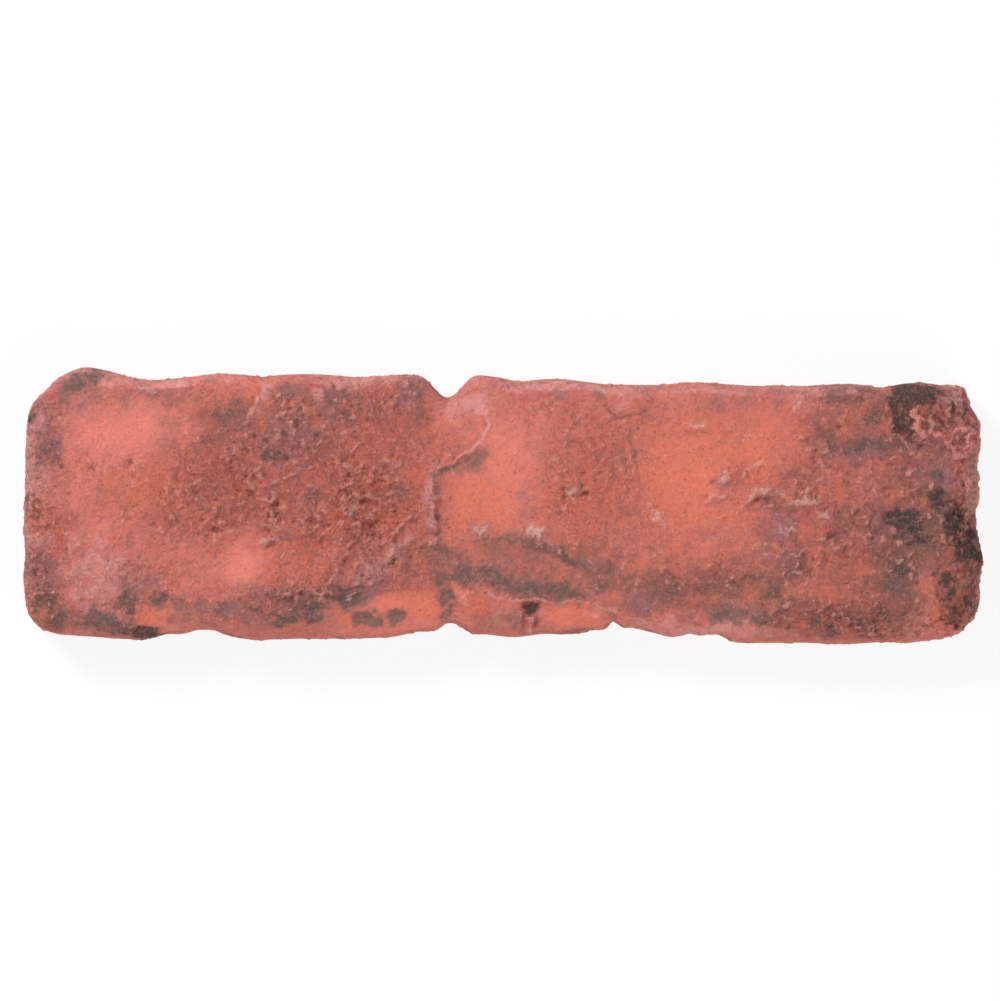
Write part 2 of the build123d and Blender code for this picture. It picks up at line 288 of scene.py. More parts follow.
@dataclass(frozen=True)
class FaceRelief:
    """The fine relief of the face: what was torn, trodden and weathered on the moulded brick."""

    crests: tuple[Crest, ...] = (
        # Lip round the hollow under the upper notch, and the bank that parts the two halves
        Crest([(-3.8, 25.2), (-3.4, 21), (-4.5, 17.4), (-7, 15), (-10, 13.5), (-12.5, 11.6), (-18.2, 9.6)],
              rise=0.32, width=0.45),
        Crest([(-18.2, 9.5), (-17.8, 6.8), (-16.5, 4.2), (-17, 0.2), (-16.5, -4), (-17.5, -8.5),
               (-19.2, -10.8)], rise=0.3, width=0.9),
        # Dragged ridges of the rough left half
        Crest([(-39.2, -22.8), (-36, -19), (-32.5, -15.2), (-28, -11.8), (-24.2, -9), (-20.5, -5.8)],
              rise=0.15, width=0.8),
        Crest([(-44.2, -20.2), (-41, -15.2), (-38, -9.8), (-36, -6.5)], rise=0.45, width=0.8),
        Crest([(-30.5, -9), (-26, -5.2), (-22.5, -2.2), (-19.5, 1)], rise=0.45, width=0.7, step=0.15),
        Crest([(-40.5, -5.2), (-38, -1.5), (-35, 0.2)], rise=0.45, width=0.8, step=0.15),
        Crest([(-39.2, 9.8), (-37.5, 14.8), (-34.2, 17.2)], rise=0.35, width=0.7, step=0.15),
        Crest([(-34, 6), (-30, 9.2), (-25, 10.8)], rise=0.3, width=0.7, step=0.15),
        Crest([(-56, 6), (-51, 9.5), (-46, 10.5)], rise=0.3, width=0.7, step=0.15),
        Crest([(-66, -2), (-61, 1.5), (-56, 2.5)], rise=0.25, width=0.7, step=0.15),
        Crest([(-62.8, 23.2), (-61.5, 25.2), (-59.8, 27.8)], rise=0.5, width=0.7),
        Crest([(-56.8, 22), (-53, 24), (-49.2, 25.5)], rise=0.45, width=0.7, step=0.2),
        Crest([(-107.8, -6.5), (-107, -11.5), (-106.2, -17.2), (-105.5, -25.2)], rise=0.25, width=0.5),
        # Spalled arch over the lower edge, the band inside it and the lip of the shelf
        Crest([(-16.2, -9.5), (-11.8, -8.5), (-6.8, -7.8), (-2.5, -8), (1.5, -8.8), (10.8, -9.8),
               (14.5, -12.5), (18.5, -15), (21, -18.2)], rise=0.0, width=0.55, step=0.15, fade=3.0),
        Crest([(-4.2, -20), (-0.5, -22), (4.5, -22.8), (10.8, -23), (15.8, -22.8), (21.5, -22.8)],
              rise=0.25, width=0.45, step=0.2, fade=3.0),
        # Cracks under the bulge of the upper edge and down from it
        Crest([(25.5, 29), (26, 24.8), (28.5, 22.8), (34.5, 23.5), (37, 25.2)], rise=-0.3, width=0.5),
        Crest([(31.2, 21.8), (32, 17.2), (33.2, 12.8), (34, 8.5), (34.5, 6)], rise=-0.2, width=0.4),
        Crest([(36.2, 2.2), (38.2, -1), (41, -4.5)], rise=0.4, width=0.8, step=0.15),
        # Torn lip of the smooth pan, and the arc above it
        Crest([(59.5, 7.2), (60.5, 9.2), (62.5, 10.8), (65, 11.5)], rise=0.5, width=0.6, step=0.3, fade=3.0),
        Crest([(58.2, -1.2), (60.8, 1.8), (63.2, 3.8), (66.5, 4.8), (69.8, 3), (72.8, 1.5), (78.2, 1.2)],
              rise=0.4, width=0.7, step=0.15, fade=3.0),
        Crest([(49.5, -3.8), (52.5, -2.8), (55.8, -1.5), (58.2, -0.8)], rise=0.25, width=0.5, step=0.15),
        Crest([(71.5, 22.8), (73.2, 25.5), (75.2, 27.8), (79, 29), (84, 30.2)], rise=0.35, width=0.8),
        # Broken aggregate in the upper right corner
        Crest([(102.2, 24), (103.8, 22.2), (102.8, 20.2), (104.6, 18.2)], rise=0.8, width=0.7),
        Crest([(106.5, 19.2), (109, 18.2), (111, 15.8), (112.5, 13.2), (115, 13.2), (116.5, 16), (116, 19.2),
               (113.2, 19.8)], rise=0.7, width=0.7),
        # Cracks of the sooted right end
        Crest([(97, 31), (98.5, 27), (97.5, 22), (100, 18.5)], rise=-0.5, width=0.6),
        Crest([(106, 31), (107.5, 27), (106, 24.5)], rise=-0.5, width=0.6),
        Crest([(111.5, 29.5), (112.5, 25.5), (111.5, 22)], rise=-0.6, width=0.6),
    )
    lumps: tuple[Lump, ...] = (
        # Left end
        Lump(-86, 29, 1.3, 1.2, 0.5),
        Lump(-86, 29, 2.2, 2.1, -0.25, steep=2.0),
        Lump(-77.5, 31.2, 0.8, 0.7, -0.5),
        Lump(-109.2, 10.8, 0.9, 0.8, -0.6),
        Lump(-103, 13.5, 0.8, 0.7, -0.45),
        Lump(-97.2, 13.2, 0.8, 0.7, -0.4),
        Lump(-92.5, 11.5, 1.1, 0.9, -0.5),
        Lump(-91.6, 10.2, 0.8, 0.7, 0.35),
        Lump(-101.8, 10.2, 1.0, 0.7, -0.35),
        Lump(-100, 5.2, 0.9, 0.8, -0.35),
        Lump(-72.2, -5.2, 1.5, 1.0, -0.8),
        Lump(-113.5, 24.8, 2.0, 1.4, 0.4),
        Lump(-113, 20.2, 2.2, 1.8, 0.45),
        Lump(-112.5, 15.8, 1.8, 1.5, 0.3),
        Lump(-116.8, 9.8, 1.2, 1.4, 0.5),
        Lump(-116.6, 3.0, 1.2, 1.6, 0.4),
        Lump(-117.0, -6.0, 1.2, 1.8, 0.45),
        Lump(-116.4, -13.5, 1.4, 1.6, 0.4),
        Lump(-115.8, -21.0, 1.6, 1.3, 0.35),
        # Left half
        Lump(-45.5, 27.8, 1.3, 1.1, 0.6),
        Lump(-58.5, -7.6, 1.0, 0.8, 0.5),
        Lump(-57.5, -9.2, 1.8, 0.8, -0.5),
        Lump(-38, -22, 0.9, 0.8, 0.6),
        Lump(-33.5, -27, 2.4, 1.1, -0.5),
        Lump(-25.8, -26.5, 2.1, 0.8, -0.4),
        # Middle
        Lump(20.2, 3.5, 1.4, 0.7, -0.6),
        Lump(8.8, -5.2, 1.4, 1.1, 0.5),
        Lump(17.8, 4.8, 1.6, 0.9, 0.35),
        Lump(-5.5, -5.2, 2.4, 1.6, 0.25),
        Lump(31.2, 27.2, 5.0, 3.0, 0.6),
        Lump(7.2, -25.0, 2.0, 1.7, -1.2, steep=1.5),
        Lump(5.6, -27.8, 0.8, 2.4, -0.7),
        Lump(8.9, -27.8, 0.8, 2.2, -0.6),
        Lump(-9.2, -22, 2.6, 3.0, 0.7),
        Lump(-13.6, -20.8, 1.8, 1.6, -0.5),
        Lump(-13, -25.2, 1.5, 2.0, -0.4),
        # Right half
        Lump(48.8, 20.8, 2.6, 1.4, 0.5),
        Lump(50, 19, 1.8, 0.6, -0.35),
        Lump(47, 15.8, 2.2, 1.6, 0.35),
        Lump(55.8, 8, 2.6, 1.7, 0.8, turn=35.0, steep=1.6),
        Lump(52.4, 6.8, 1.2, 0.6, -0.4, turn=35.0),
        Lump(53, 3, 2.4, 1.4, 0.6, steep=1.4),
        Lump(50.6, 3.2, 0.9, 0.7, -0.4),
        Lump(66, 2.2, 1.3, 1.0, -0.9),
        Lump(63.8, 2.4, 0.8, 0.8, -0.5),
        Lump(75, 1.5, 3.4, 1.0, 0.35),
        Lump(80, -1.8, 1.5, 1.0, 0.7),
        Lump(78.2, -0.6, 0.8, 0.7, 0.4),
        Lump(82, -7, 1.0, 0.9, -0.7),
        Lump(66.5, -9.8, 0.6, 0.6, -0.5),
        Lump(70.2, -4.8, 2.5, 2.0, 0.3),
        # Right end
        Lump(97.8, -1, 3.6, 0.9, -0.5),
        Lump(99.8, -4, 1.2, 3.0, -0.4),
        Lump(109, 2.2, 1.8, 2.2, -0.6),
        Lump(112.2, -2, 1.2, 3.0, -0.5),
        Lump(110.8, -17.2, 1.2, 2.6, -0.5, turn=20.0),
        Lump(112.8, 26, 1.0, 3.0, -0.7),
        Lump(114.5, -25.8, 2.2, 1.2, -1.0),
        Lump(113.2, -29, 2.4, 1.0, -0.8),
        Lump(110.5, -23.5, 1.6, 1.4, 0.5),
        Lump(118.2, -9, 1.2, 1.8, 0.6),
        Lump(118.4, -14, 1.0, 1.3, 0.4),
        Lump(117.4, 4.0, 1.1, 2.0, 0.3),
    )
    rough: tuple[Lump, ...] = (
        Lump(-48, 7, 30, 20, 0.55, steep=2.0),
        Lump(-30.5, -7.8, 15, 15, 0.5, steep=2.0),
        Lump(-75.5, 2.2, 15, 15, 0.4, steep=1.5),
        Lump(-50.5, -22.8, 16, 6, 0.6, steep=1.5),
        Lump(20.8, 7.2, 13, 15, 0.4, steep=1.5),
        Lump(49.5, -20.2, 20, 8, 0.35, steep=1.5),
        Lump(89.5, 2.2, 22, 27, 0.45, steep=1.5),
        Lump(107, 22.2, 12, 10, 0.6, steep=1.5),
        Lump(84.5, -27.8, 20, 5, 0.9, steep=1.5),
        Lump(114.5, -12.8, 6, 20, 0.8, steep=1.5),
        Lump(117, 6, 5, 30, 0.6, steep=1.5),
        Lump(-114.2, 2.2, 6, 28, 0.6, steep=1.5),
        Lump(-98, -20.2, 15, 10, 0.3, steep=1.5),
        Lump(-38, 27.2, 20, 6, 0.4, steep=1.5),
        Lump(-93, 19.8, 15, 6, -0.25, steep=1.5),
        Lump(-64.2, -11.5, 6, 7.5, -0.6, steep=1.5),
        Lump(-0.5, 9.8, 13, 16, -0.25, steep=1.5),
        Lump(46, 9.8, 13, 12, -0.2, steep=1.5),
        Lump(-29.2, -25.8, 15, 5.5, -0.9, steep=2.0),
        Lump(-83.5, -27.2, 6, 3.5, -0.6, steep=1.5),
        Lump(18.2, -26.5, 8, 3, -0.5, steep=1.5),
        Lump(58.2, -25.8, 8, 4, -0.4, steep=1.5),
        Lump(67, 17.2, 9, 9, -0.2, steep=1.5),
    )
    broad_mm: float = 0.2  # height of the waves that cover the whole face
    skin_mm: float = 0.5  # heights of the kinds of skin, each times how coarse the face is
    crumb_mm: float = 0.3
    drag_mm: float = 0.16
    flake_mm: float = 0.14
    lump_mm: float = 0.22
    grit_mm: float = 0.07
    plain_grain: float = 0.42  # how coarse the face is away from the rough zones
    drag_turn: float = 52.0  # which way the clay was dragged
    bent_mm: float = 0.75  # how far noise bends the outlines of the relief
    crumb_count: int = 900
    crumbs_half_x: float = 118.0
    crumbs_half_y: float = 32.0
    seed: int = 11

    def roughness(self, xs: np.ndarray, ys: np.ndarray) -> np.ndarray:
        """Works out how coarse the face is.

        Args:
            xs: The places along the tile, in millimetres.
            ys: The places across it.

        Returns:
            The coarseness at each place, from about nought, as if trowelled, upwards.
        """
        level = np.full(xs.shape, self.plain_grain)
        for zone in self.rough:
            level = level + zone.height(xs, ys)
        return np.clip(level, 0.06, 1.5)

    def crumbs(self) -> list[Lump]:
        """Throws small pits and crumbs over the face, more and larger ones where it is rough.

        Returns:
            The pits and crumbs.
        """
        thrower = random.Random(self.seed)
        thrown = []
        while len(thrown) < self.crumb_count:
            x = thrower.uniform(-self.crumbs_half_x, self.crumbs_half_x)
            y = thrower.uniform(-self.crumbs_half_y, self.crumbs_half_y)
            coarse = float(self.roughness(np.array([x]), np.array([y]))[0])
            if thrower.random() > 0.12 + 0.75 * coarse:
                continue
            size = thrower.uniform(0.35, 0.55) + 0.25 * coarse * thrower.random()
            rise = thrower.choice((-1, -1, 1)) * thrower.uniform(0.12, 0.3) * (0.6 + 0.7 * coarse)
            thrown.append(Lump(x, y, size * thrower.uniform(1.0, 1.6), size, rise, thrower.uniform(0, 180)))
        return thrown


def stains(pigment: Pigment, *patches: tuple[float, ...]) -> tuple[Stain, ...]:
    """Makes the stains of one pigment.

    Args:
        pigment: What they are made of.
        patches: For each: x, y, reach, width, strength and, if it is turned, its turn.

    Returns:
        The stains.
    """
    return tuple(Stain(pigment, *patch) for patch in patches)


@dataclass(frozen=True)
class FacePigments:
    """Where each pigment lies on the face. Millimetres and degrees."""

    patches: tuple[Stain, ...] = (
        *stains(
            Pigment.SALMON,
            # Painted light: (-114.4, 7) and (-116, -8.4) on the lit slope of the left end, (-29, -11.5) on a
            # bank slope that the relief shades, and (48, -29.4), (60, -31.5), (33, -28) and (-64, -31) on the
            # lower rim.
            (-95, 18, 16, 9, 0.8), (-88, 4, 6, 4.4, 0.5), (-106, 5, 9, 10, 0.6), (-78, -12, 9, 7, 0.5),
            (-65, -13.5, 5, 6, 0.7), (-98, -4, 12, 6, 0.4), (-12, 25, 8, 4, 0.55), (3, 12, 10, 14, 0.45),
            (42, 28, 14, 3, 0.4), (-68, 31, 12, 2, 0.5), (48, -29.4, 13, 2.8, 1.6),
            (60, -31.5, 9, 1.8, 1.2), (33, -28, 6, 1.8, 1.1), (90, 8, 8, 6, 0.4),
            (-114.4, 7, 3.4, 5.5, 1.8), (-116, -8.4, 3.2, 3, 1.6), (-29, -11.5, 8, 2, 1.0, 40),
            (0, -27, 4, 2.4, 0.8), (28, -25.6, 4, 1.4, 0.9), (-18, -29.5, 8, 1.6, 0.8),
            (-64, -31, 12, 1.4, 0.8),
        ),
        *stains(
            Pigment.ORANGE,
            (-89, 4, 6.5, 5, 1.1), (-86, -26.5, 4, 3, 0.95), (-36, -25.5, 6, 3.2, 0.8),
            (-27, -23, 6.5, 3, 0.9), (-20, -23, 5, 4.4, 0.9), (-40, -28.5, 3, 1.6, 0.7),
            (-8, -22, 2.4, 3.2, 1.0, 30), (18.5, -26, 7.5, 2.4, 1.0), (11, -16, 3, 1.8, 0.6),
            (13.5, -18.5, 3, 1.2, 0.6), (-6, -12, 7, 2, 0.4), (-4, 3, 12, 11, 0.6), (46, 8, 14, 15, 0.75),
            (63, 15, 10, 9, 0.6), (84, -17, 5.5, 5.5, 0.6), (-25, -4, 6, 4.5, 0.7), (-21, 7.5, 1.6, 3, 0.9),
            (-50, -11, 8, 4, 0.35), (-62.5, 27.5, 1.8, 4, 0.6), (76, -5, 3, 2.6, 0.6),
            (108, -24, 3, 5, 0.6), (110.8, 2.5, 1.3, 1.3, 1.5), (22, 5, 9, 12, 0.5), (-73, -6, 6, 5, 0.35),
            (8, 3, 7, 9, 0.4), (30, -3, 10, 6, 0.35), (-41, -2, 2, 5, 0.4),
        ),
        *stains(
            Pigment.RED,
            (-52, 3, 17, 9, 0.42), (-70, 8, 9, 9, 0.5), (-45, 12, 10, 6, 0.5), (-33, 6, 8, 8, 0.4),
            (-66, 19, 8, 7, 0.5), (-30, 17, 10, 9, 0.5), (-48, -10, 10, 5, 0.5), (-72, -3, 7, 4, 0.4),
            (-82, 0, 5, 4, 0.3), (-96, 2, 7, 4, 0.3), (-108, -4, 3, 5, 0.35), (58, 8, 3.6, 2.4, 1.0),
            (22, 17, 6, 8, 0.3), (21, 3, 2.2, 1, 0.8), (85, -12, 7, 8, 0.5), (8, 25, 9, 1.2, 0.4),
            (112.5, -26, 3, 3.6, 1.3), (7.2, -27.5, 2.2, 3.6, 1.2), (116, 8, 1.4, 4, 0.5),
            (86, -28, 2.4, 2, 0.6), (48, 20, 8, 1.6, 0.4), (-13, 15, 5, 4, 0.4),
        ),
        *stains(
            Pigment.UMBER,
            (-84, 27, 12, 4, 0.35), (-68, 22, 5, 5.5, 0.9), (-74, 18, 5, 7, 0.35), (-28, 22, 8, 7, 0.12),
            (-23, 17, 4, 8, 0.2), (-23, -15, 5, 6, 0.5), (-16, -13, 3, 5, 0.6), (-2, -14, 14, 5, 0.6),
            (7, -13.5, 11, 5, 0.75), (19, -13, 5, 4, 0.9), (-106, 31, 5, 2.6, 0.9, 20),
            # (-7, 12) is a painted shadow under the lip of the hollow.
            (-7, 12, 5, 1.6, 0.9, 35), (24, -17, 7, 6, 0.85), (38, -20, 12, 6, 0.75), (54, -18, 14, 5, 0.7),
            (72, -15, 5, 5, 0.95), (68, -21, 3, 5, 1.1, -35), (66, -26, 12, 4, 0.7), (79, -26, 6, 4, 0.6),
            (98, -15, 8, 12, 1.0), (92, -27, 8, 4, 0.8), (105, -6, 8, 10, 0.95), (88, 22, 11, 7, 0.45),
            (90, 15, 9, 2.6, 0.9), (104, 8, 9, 7, 0.45), (80, 20, 5, 6, 0.5), (75, 8, 6, 5, 0.3),
            (30, 12, 5, 12, 0.12), (20, -30.5, 6, 1.2, 0.8), (0, -27, 5, 3, 0.45), (91, -5, 8, 6, 0.6),
            (85, -16, 6, 6, 0.45), (66.5, 1.4, 3, 2, 1.0), (-90, 0, 20, 9, 0.2), (84, -2, 6, 4, 0.35),
            (30, -10, 8, 4, 0.4), (66, -8, 6, 4, 0.35), (-80, 20, 6, 6, 0.3), (115, -14, 4, 10, 0.6),
            (-100, -28, 9, 2.6, 0.7), (86, 29.5, 6, 3, 1.2), (94, 25, 4, 4, 0.7), (-111, -27, 4, 3, 0.8),
            (-80, -28, 4, 1.6, 0.7), (-28, -23.4, 3, 1, 0.4), (10, -21, 8, 1.8, 1.2),
        ),
        *stains(
            Pigment.MAUVE,
            (-114.5, 20, 4, 9, 0.95), (-118.4, 0, 0.9, 12, 0.6), (-107, 29, 9, 4, 0.7),
            (-90, 29, 12, 3, 0.5), (-114, -15, 4, 6, 0.8), (-89, -18, 4, 4, 0.6), (-100, -26, 7, 3, 0.6),
            (-52, 18, 10, 5.5, 0.8), (-30, -12, 7, 2.6, 0.25, 40), (-52, 29, 6, 2, 0.7),
            (-42, 27, 4, 4.5, 0.9), (-57, -20.5, 9, 2.4, 0.75), (-70, -25.5, 13, 3, 0.6),
            (-48, -24.5, 11, 4.4, 0.8), (-35, -18, 7, 4, 0.8, 35), (-27, -12.5, 6, 3, 0.25, 35),
            (-24, 29, 5, 4, 0.8), (-34, 27, 6, 4, 0.55), (-24, 4, 4, 2.4, 0.5), (-9, 17, 5, 4, 0.3),
            (-5.5, -6, 3, 2.4, 0.6), (-8, -12, 8, 2, 0.3), (14, 28.4, 12, 1.6, 0.4),
            (31, 27.5, 5, 3.4, 0.2), (24, 29, 3, 2.2, 0.6), (5.5, 0, 2, 4.4, 0.45),
            (17.5, 4.5, 2.4, 1.6, 0.5), (55.5, 7, 2.6, 2.2, 0.7), (53, 3, 2.6, 1.5, 0.6),
            (70, -5, 3.6, 4, 0.75), (69, -11, 4, 5, 0.45), (86, 15, 9, 3, 0.7), (98, 15, 8, 3, 0.6),
            (106, 9, 8, 5, 0.7), (112, 27, 4, 4, 1.2), (104, 16, 6, 3, 0.6), (94, -3, 4, 5, 0.5),
            (60, -25.4, 9, 3.2, 0.6), (36, -23.6, 8, 2.6, 0.6), (-17, 1, 1.5, 8, 0.9),
            (-47, 3, 2.4, 3.2, 0.5), (58, 27.5, 12, 2.4, 0.45), (110, 14, 6, 4, 0.5), (5, -28.8, 4, 2, 0.6),
        ),
        *stains(
            Pigment.BLOOM,
            # Painted light: (-116, -8.4) and (-114.6, 7) on the lit slope of the left end, (-36, 32) on the
            # upper arris, (-28.5, -12.2) and (-17.2, 0) on bank slopes that the relief shades, and (49, -30),
            # (36, -28.6) and (62, -32) on the lower rim.
            (-100, -16, 7, 9, 0.75), (-103, -22, 3.6, 3.6, 0.8), (-115, 21, 1.6, 3, 0.8),
            (-117, 16.5, 1.4, 2.4, 0.8), (-116, -8.4, 2.4, 2.6, 0.8), (-114.6, 7, 2.4, 5, 0.8),
            (115, 18, 2, 2, 0.7), (-60, 28, 1.4, 4.4, 0.95, -20), (-45.8, 28, 1.6, 1.8, 0.9),
            (-8.5, 26.2, 5.5, 2.6, 0.9, 15), (-37, -15, 5, 4, 0.4), (31, 28.4, 4, 2.6, 0.5),
            (25, -25.4, 3, 1.2, 0.5), (-86, 29, 1.4, 1.2, 0.5), (74, 26, 3.4, 1.4, 0.5, 60),
            (117, 6, 2.2, 8, 1.2), (-36, 32, 8, 1.6, 1.15), (49, -30, 12, 1.8, 1.0), (36, -28.6, 5, 1, 0.6),
            (62, -32, 8, 1, 0.6), (-28.5, -12.2, 10, 1.8, 0.85, 40), (-17.2, 0, 1.3, 8, 0.9),
            (-98, 32, 10, 1.2, 0.7), (113, 27.5, 3, 3, 0.7), (-45, -13, 8, 1.4, 0.35, 35),
            (76, 27.5, 4, 2, 0.5), (14, 30.6, 12, 1.2, 0.8),
        ),
        *stains(
            Pigment.SLATE,
            (-105.5, 31.8, 3.2, 2.1, 1.3, 20), (-102, 33, 2.8, 1.6, 1.2, 15), (-117.6, 23, 1.3, 1.5, 0.95),
            (-111.5, 15.5, 1.8, 3.2, 0.5), (-117.2, 2, 1.3, 2, 0.8), (-117.4, -2, 1, 2, 0.5),
            (-117.6, -15, 1.6, 4, 0.65), (-115, -23, 3.6, 2.2, 1.1), (-111, -27.5, 2.4, 1.6, 1.0),
            (-98.5, -26.8, 4.5, 1.9, 1.0), (-94, -29, 2.8, 1.7, 1.0), (-92.8, -22, 2.3, 3.2, 1.4),
            (-84.5, -22.4, 2, 1.9, 0.85, 40), (-79, -24.3, 3, 1.3, 0.55), (-61, -24.6, 2.8, 1.5, 0.85),
            (-54, -28, 4.6, 1.3, 1.15), (-48, -24, 3.6, 1.8, 0.75), (-46.4, -28, 1.3, 1.3, 0.9),
            (-38.2, -22, 3.2, 2.4, 1.6), (-66, -27, 4, 1.5, 0.4), (-68.5, 23.4, 2.6, 2, 0.6),
            (-39, 22.2, 2.8, 1.3, 0.6), (-56, 12.6, 3, 1.4, 0.75), (-53, -22, 5, 1.6, 0.2),
            (-24, 4.6, 2, 1, 0.45), (-22.5, 31, 2.4, 1.5, 0.35), (-20, -10.5, 2, 1.6, 0.3),
            (-14.2, -10.2, 2.6, 1.2, 0.6), (-13.8, -21.2, 2.1, 1.7, 1.3, 30), (-13, -25.2, 1.6, 1.8, 0.95),
            (10, -21, 8, 1.5, 0.6), (-33.5, -27.1, 2.8, 1.6, 1.9), (-25.8, -26.6, 2.4, 1.1, 1.2),
            (25, 29, 2.2, 1.4, 0.45), (27, -13.2, 1.7, 1.5, 0.6), (24, -19, 2.4, 2, 0.5),
            (43.2, -20.3, 1.9, 1.9, 0.85), (57, -25.6, 4.2, 2.8, 1.1), (65, -28, 5, 1.4, 0.6),
            (68.5, -20.6, 1.2, 2.6, 0.7, -35), (73, -15.2, 2.4, 2, 0.9), (77.6, -27.4, 2, 1.5, 0.5),
            (81.2, -30, 1.7, 1.5, 0.85), (82.3, -6.6, 1.2, 1.3, 0.8), (84, 28, 2.8, 1.5, 0.6),
            (109, 20, 7, 5, 0.4), (82, 16, 2, 1.5, 0.5), (90, 15.6, 5, 1.8, 1.0), (93, 22, 3, 2.5, 0.4),
            (97.5, -17, 4, 5, 0.8), (100, -4, 5, 4, 0.8), (108, 1, 3, 5, 0.8), (97, -26.5, 4, 2, 0.6),
            (88, -28.5, 1.6, 2, 0.7), (108, 7, 1.8, 2, 0.8), (112, -4, 3, 5, 0.8),
            (117.6, -16, 1.7, 5, 0.4), (103, -10, 2, 3, 0.5), (40, -4.5, 2, 1.2, 0.3),
            # Painted shadow under the lip of the hollow:
            (-6.6, 12.4, 3, 1, 0.45, 30),
        ),
        *stains(
            Pigment.SOOT,
            (-88.4, -30.6, 3.6, 1.9, 1.5), (-38.4, -22, 2.4, 1.4, 0.7), (-117.8, 23, 0.7, 0.8, 0.9),
            (-95, -30.4, 2, 0.8, 0.5), (101.4, 28, 5, 5.2, 1.3), (106, 28.8, 3, 2.6, 1.2),
            (100.2, 21.5, 2.4, 4.4, 1.3), (98.4, 25, 1.6, 4, 0.8), (112.4, 26.4, 0.8, 2.4, 0.8),
            (106, 24, 2, 1.6, 0.6), (101.6, 17.4, 1.5, 1.3, 0.7), (107.4, 2, 1.6, 2.2, 1.4),
            (112, -2.4, 2, 4.2, 1.4), (107.6, 7.2, 1.4, 1.3, 0.8), (98.4, -1, 3.6, 1.5, 1.1),
            (100.8, -4, 2.2, 3.4, 1.1), (102.6, -7.6, 2.6, 1.6, 0.85), (116.6, -8.6, 3.4, 4.6, 1.4),
            (118.4, -11.6, 1.4, 2.6, 1.1), (110.2, -17, 2, 4.4, 0.95, 20), (117.2, -21, 1.5, 2, 0.6),
            (116.6, -26, 1.6, 2.4, 0.9), (113.4, -29.4, 2.4, 1.2, 1.1), (112, -26, 2.4, 3.4, 1.0),
            (7.2, -25, 2.2, 2, 1.05), (97.6, -15.4, 1.6, 1.4, 0.4),
        ),
        *stains(
            Pigment.SAND,
            (103, -29, 4, 2.6, 0.5), (117.2, 7, 1.8, 7, 0.9), (106.6, -25, 1.6, 2.4, 0.6),
            (-1, -27.4, 3.6, 2, 0.4), (117.4, -18, 1.4, 3, 0.5), (117.6, -27, 1.4, 1.6, 0.5),
            (70, -31.4, 8, 0.8, 0.5),
        ),
        *stains(
            Pigment.PALE,
            (-5.5, -5.6, 1.6, 1.4, 0.5), (8.6, -5.6, 1.5, 1.6, 0.8), (17.2, 5, 1.5, 1, 0.6),
            (37.6, -1.6, 2.6, 0.9, 0.7, -55), (49, 20.8, 2, 1, 0.4), (64.8, 4.6, 2.2, 0.9, 0.6),
            (74.6, 1.6, 3.4, 1, 0.75), (70.4, -5, 2, 1.7, 0.4), (79.4, -2, 1.5, 1, 0.9),
            (-58.5, -7.2, 1.1, 0.9, 0.9), (-56.6, -7.6, 0.8, 0.6, 0.7), (-38, -22, 1, 0.8, 0.4),
            (-36.8, -1.2, 1.4, 1.2, 0.5), (61.4, 17.6, 1.1, 1, 0.5), (117, -27, 1.6, 1.8, 0.4),
            (112.6, 27.2, 1.8, 1.6, 0.5),
        ),
    )
    streaks: tuple[Streak, ...] = (
        # The stained arch over the lower edge: its outer line, and the dark band inside it
        Streak(Pigment.SLATE, [(-3, -8), (4, -8.4), (10.5, -9.8), (15.5, -12), (21, -15.5)], 1.1, 0.85),
        Streak(Pigment.SLATE, [(-15, -17.4), (-9.5, -15.8), (-4.2, -16.6), (3.2, -19), (9.5, -21),
                               (18.5, -21.6)], 1.9, 0.9),
        # Grime from the arch to the right
        Streak(Pigment.SLATE, [(52, -17.6), (58, -16.6), (66, -17.2)], 0.9, 0.5),
        # Dust and dirt along the lower edge, left of the arch
        Streak(Pigment.SLATE, [(-82, -23.4), (-76, -24.6), (-66, -25.4), (-58, -25.6), (-50, -25),
                               (-42, -23.6), (-37, -21.5)], 1.3, 0.4),
        # Soot and grime down the right end
        Streak(Pigment.SOOT, [(108, 4), (111.4, 1), (112.4, -5), (116.5, -8)], 1.0, 0.85),
        Streak(Pigment.SLATE, [(117, -12), (117, -20), (117.8, -25)], 1.6, 0.4),
        Streak(Pigment.SLATE, [(83, 16), (90, 16.6), (97, 15.4), (101, 16.4)], 1.3, 0.5),
    )
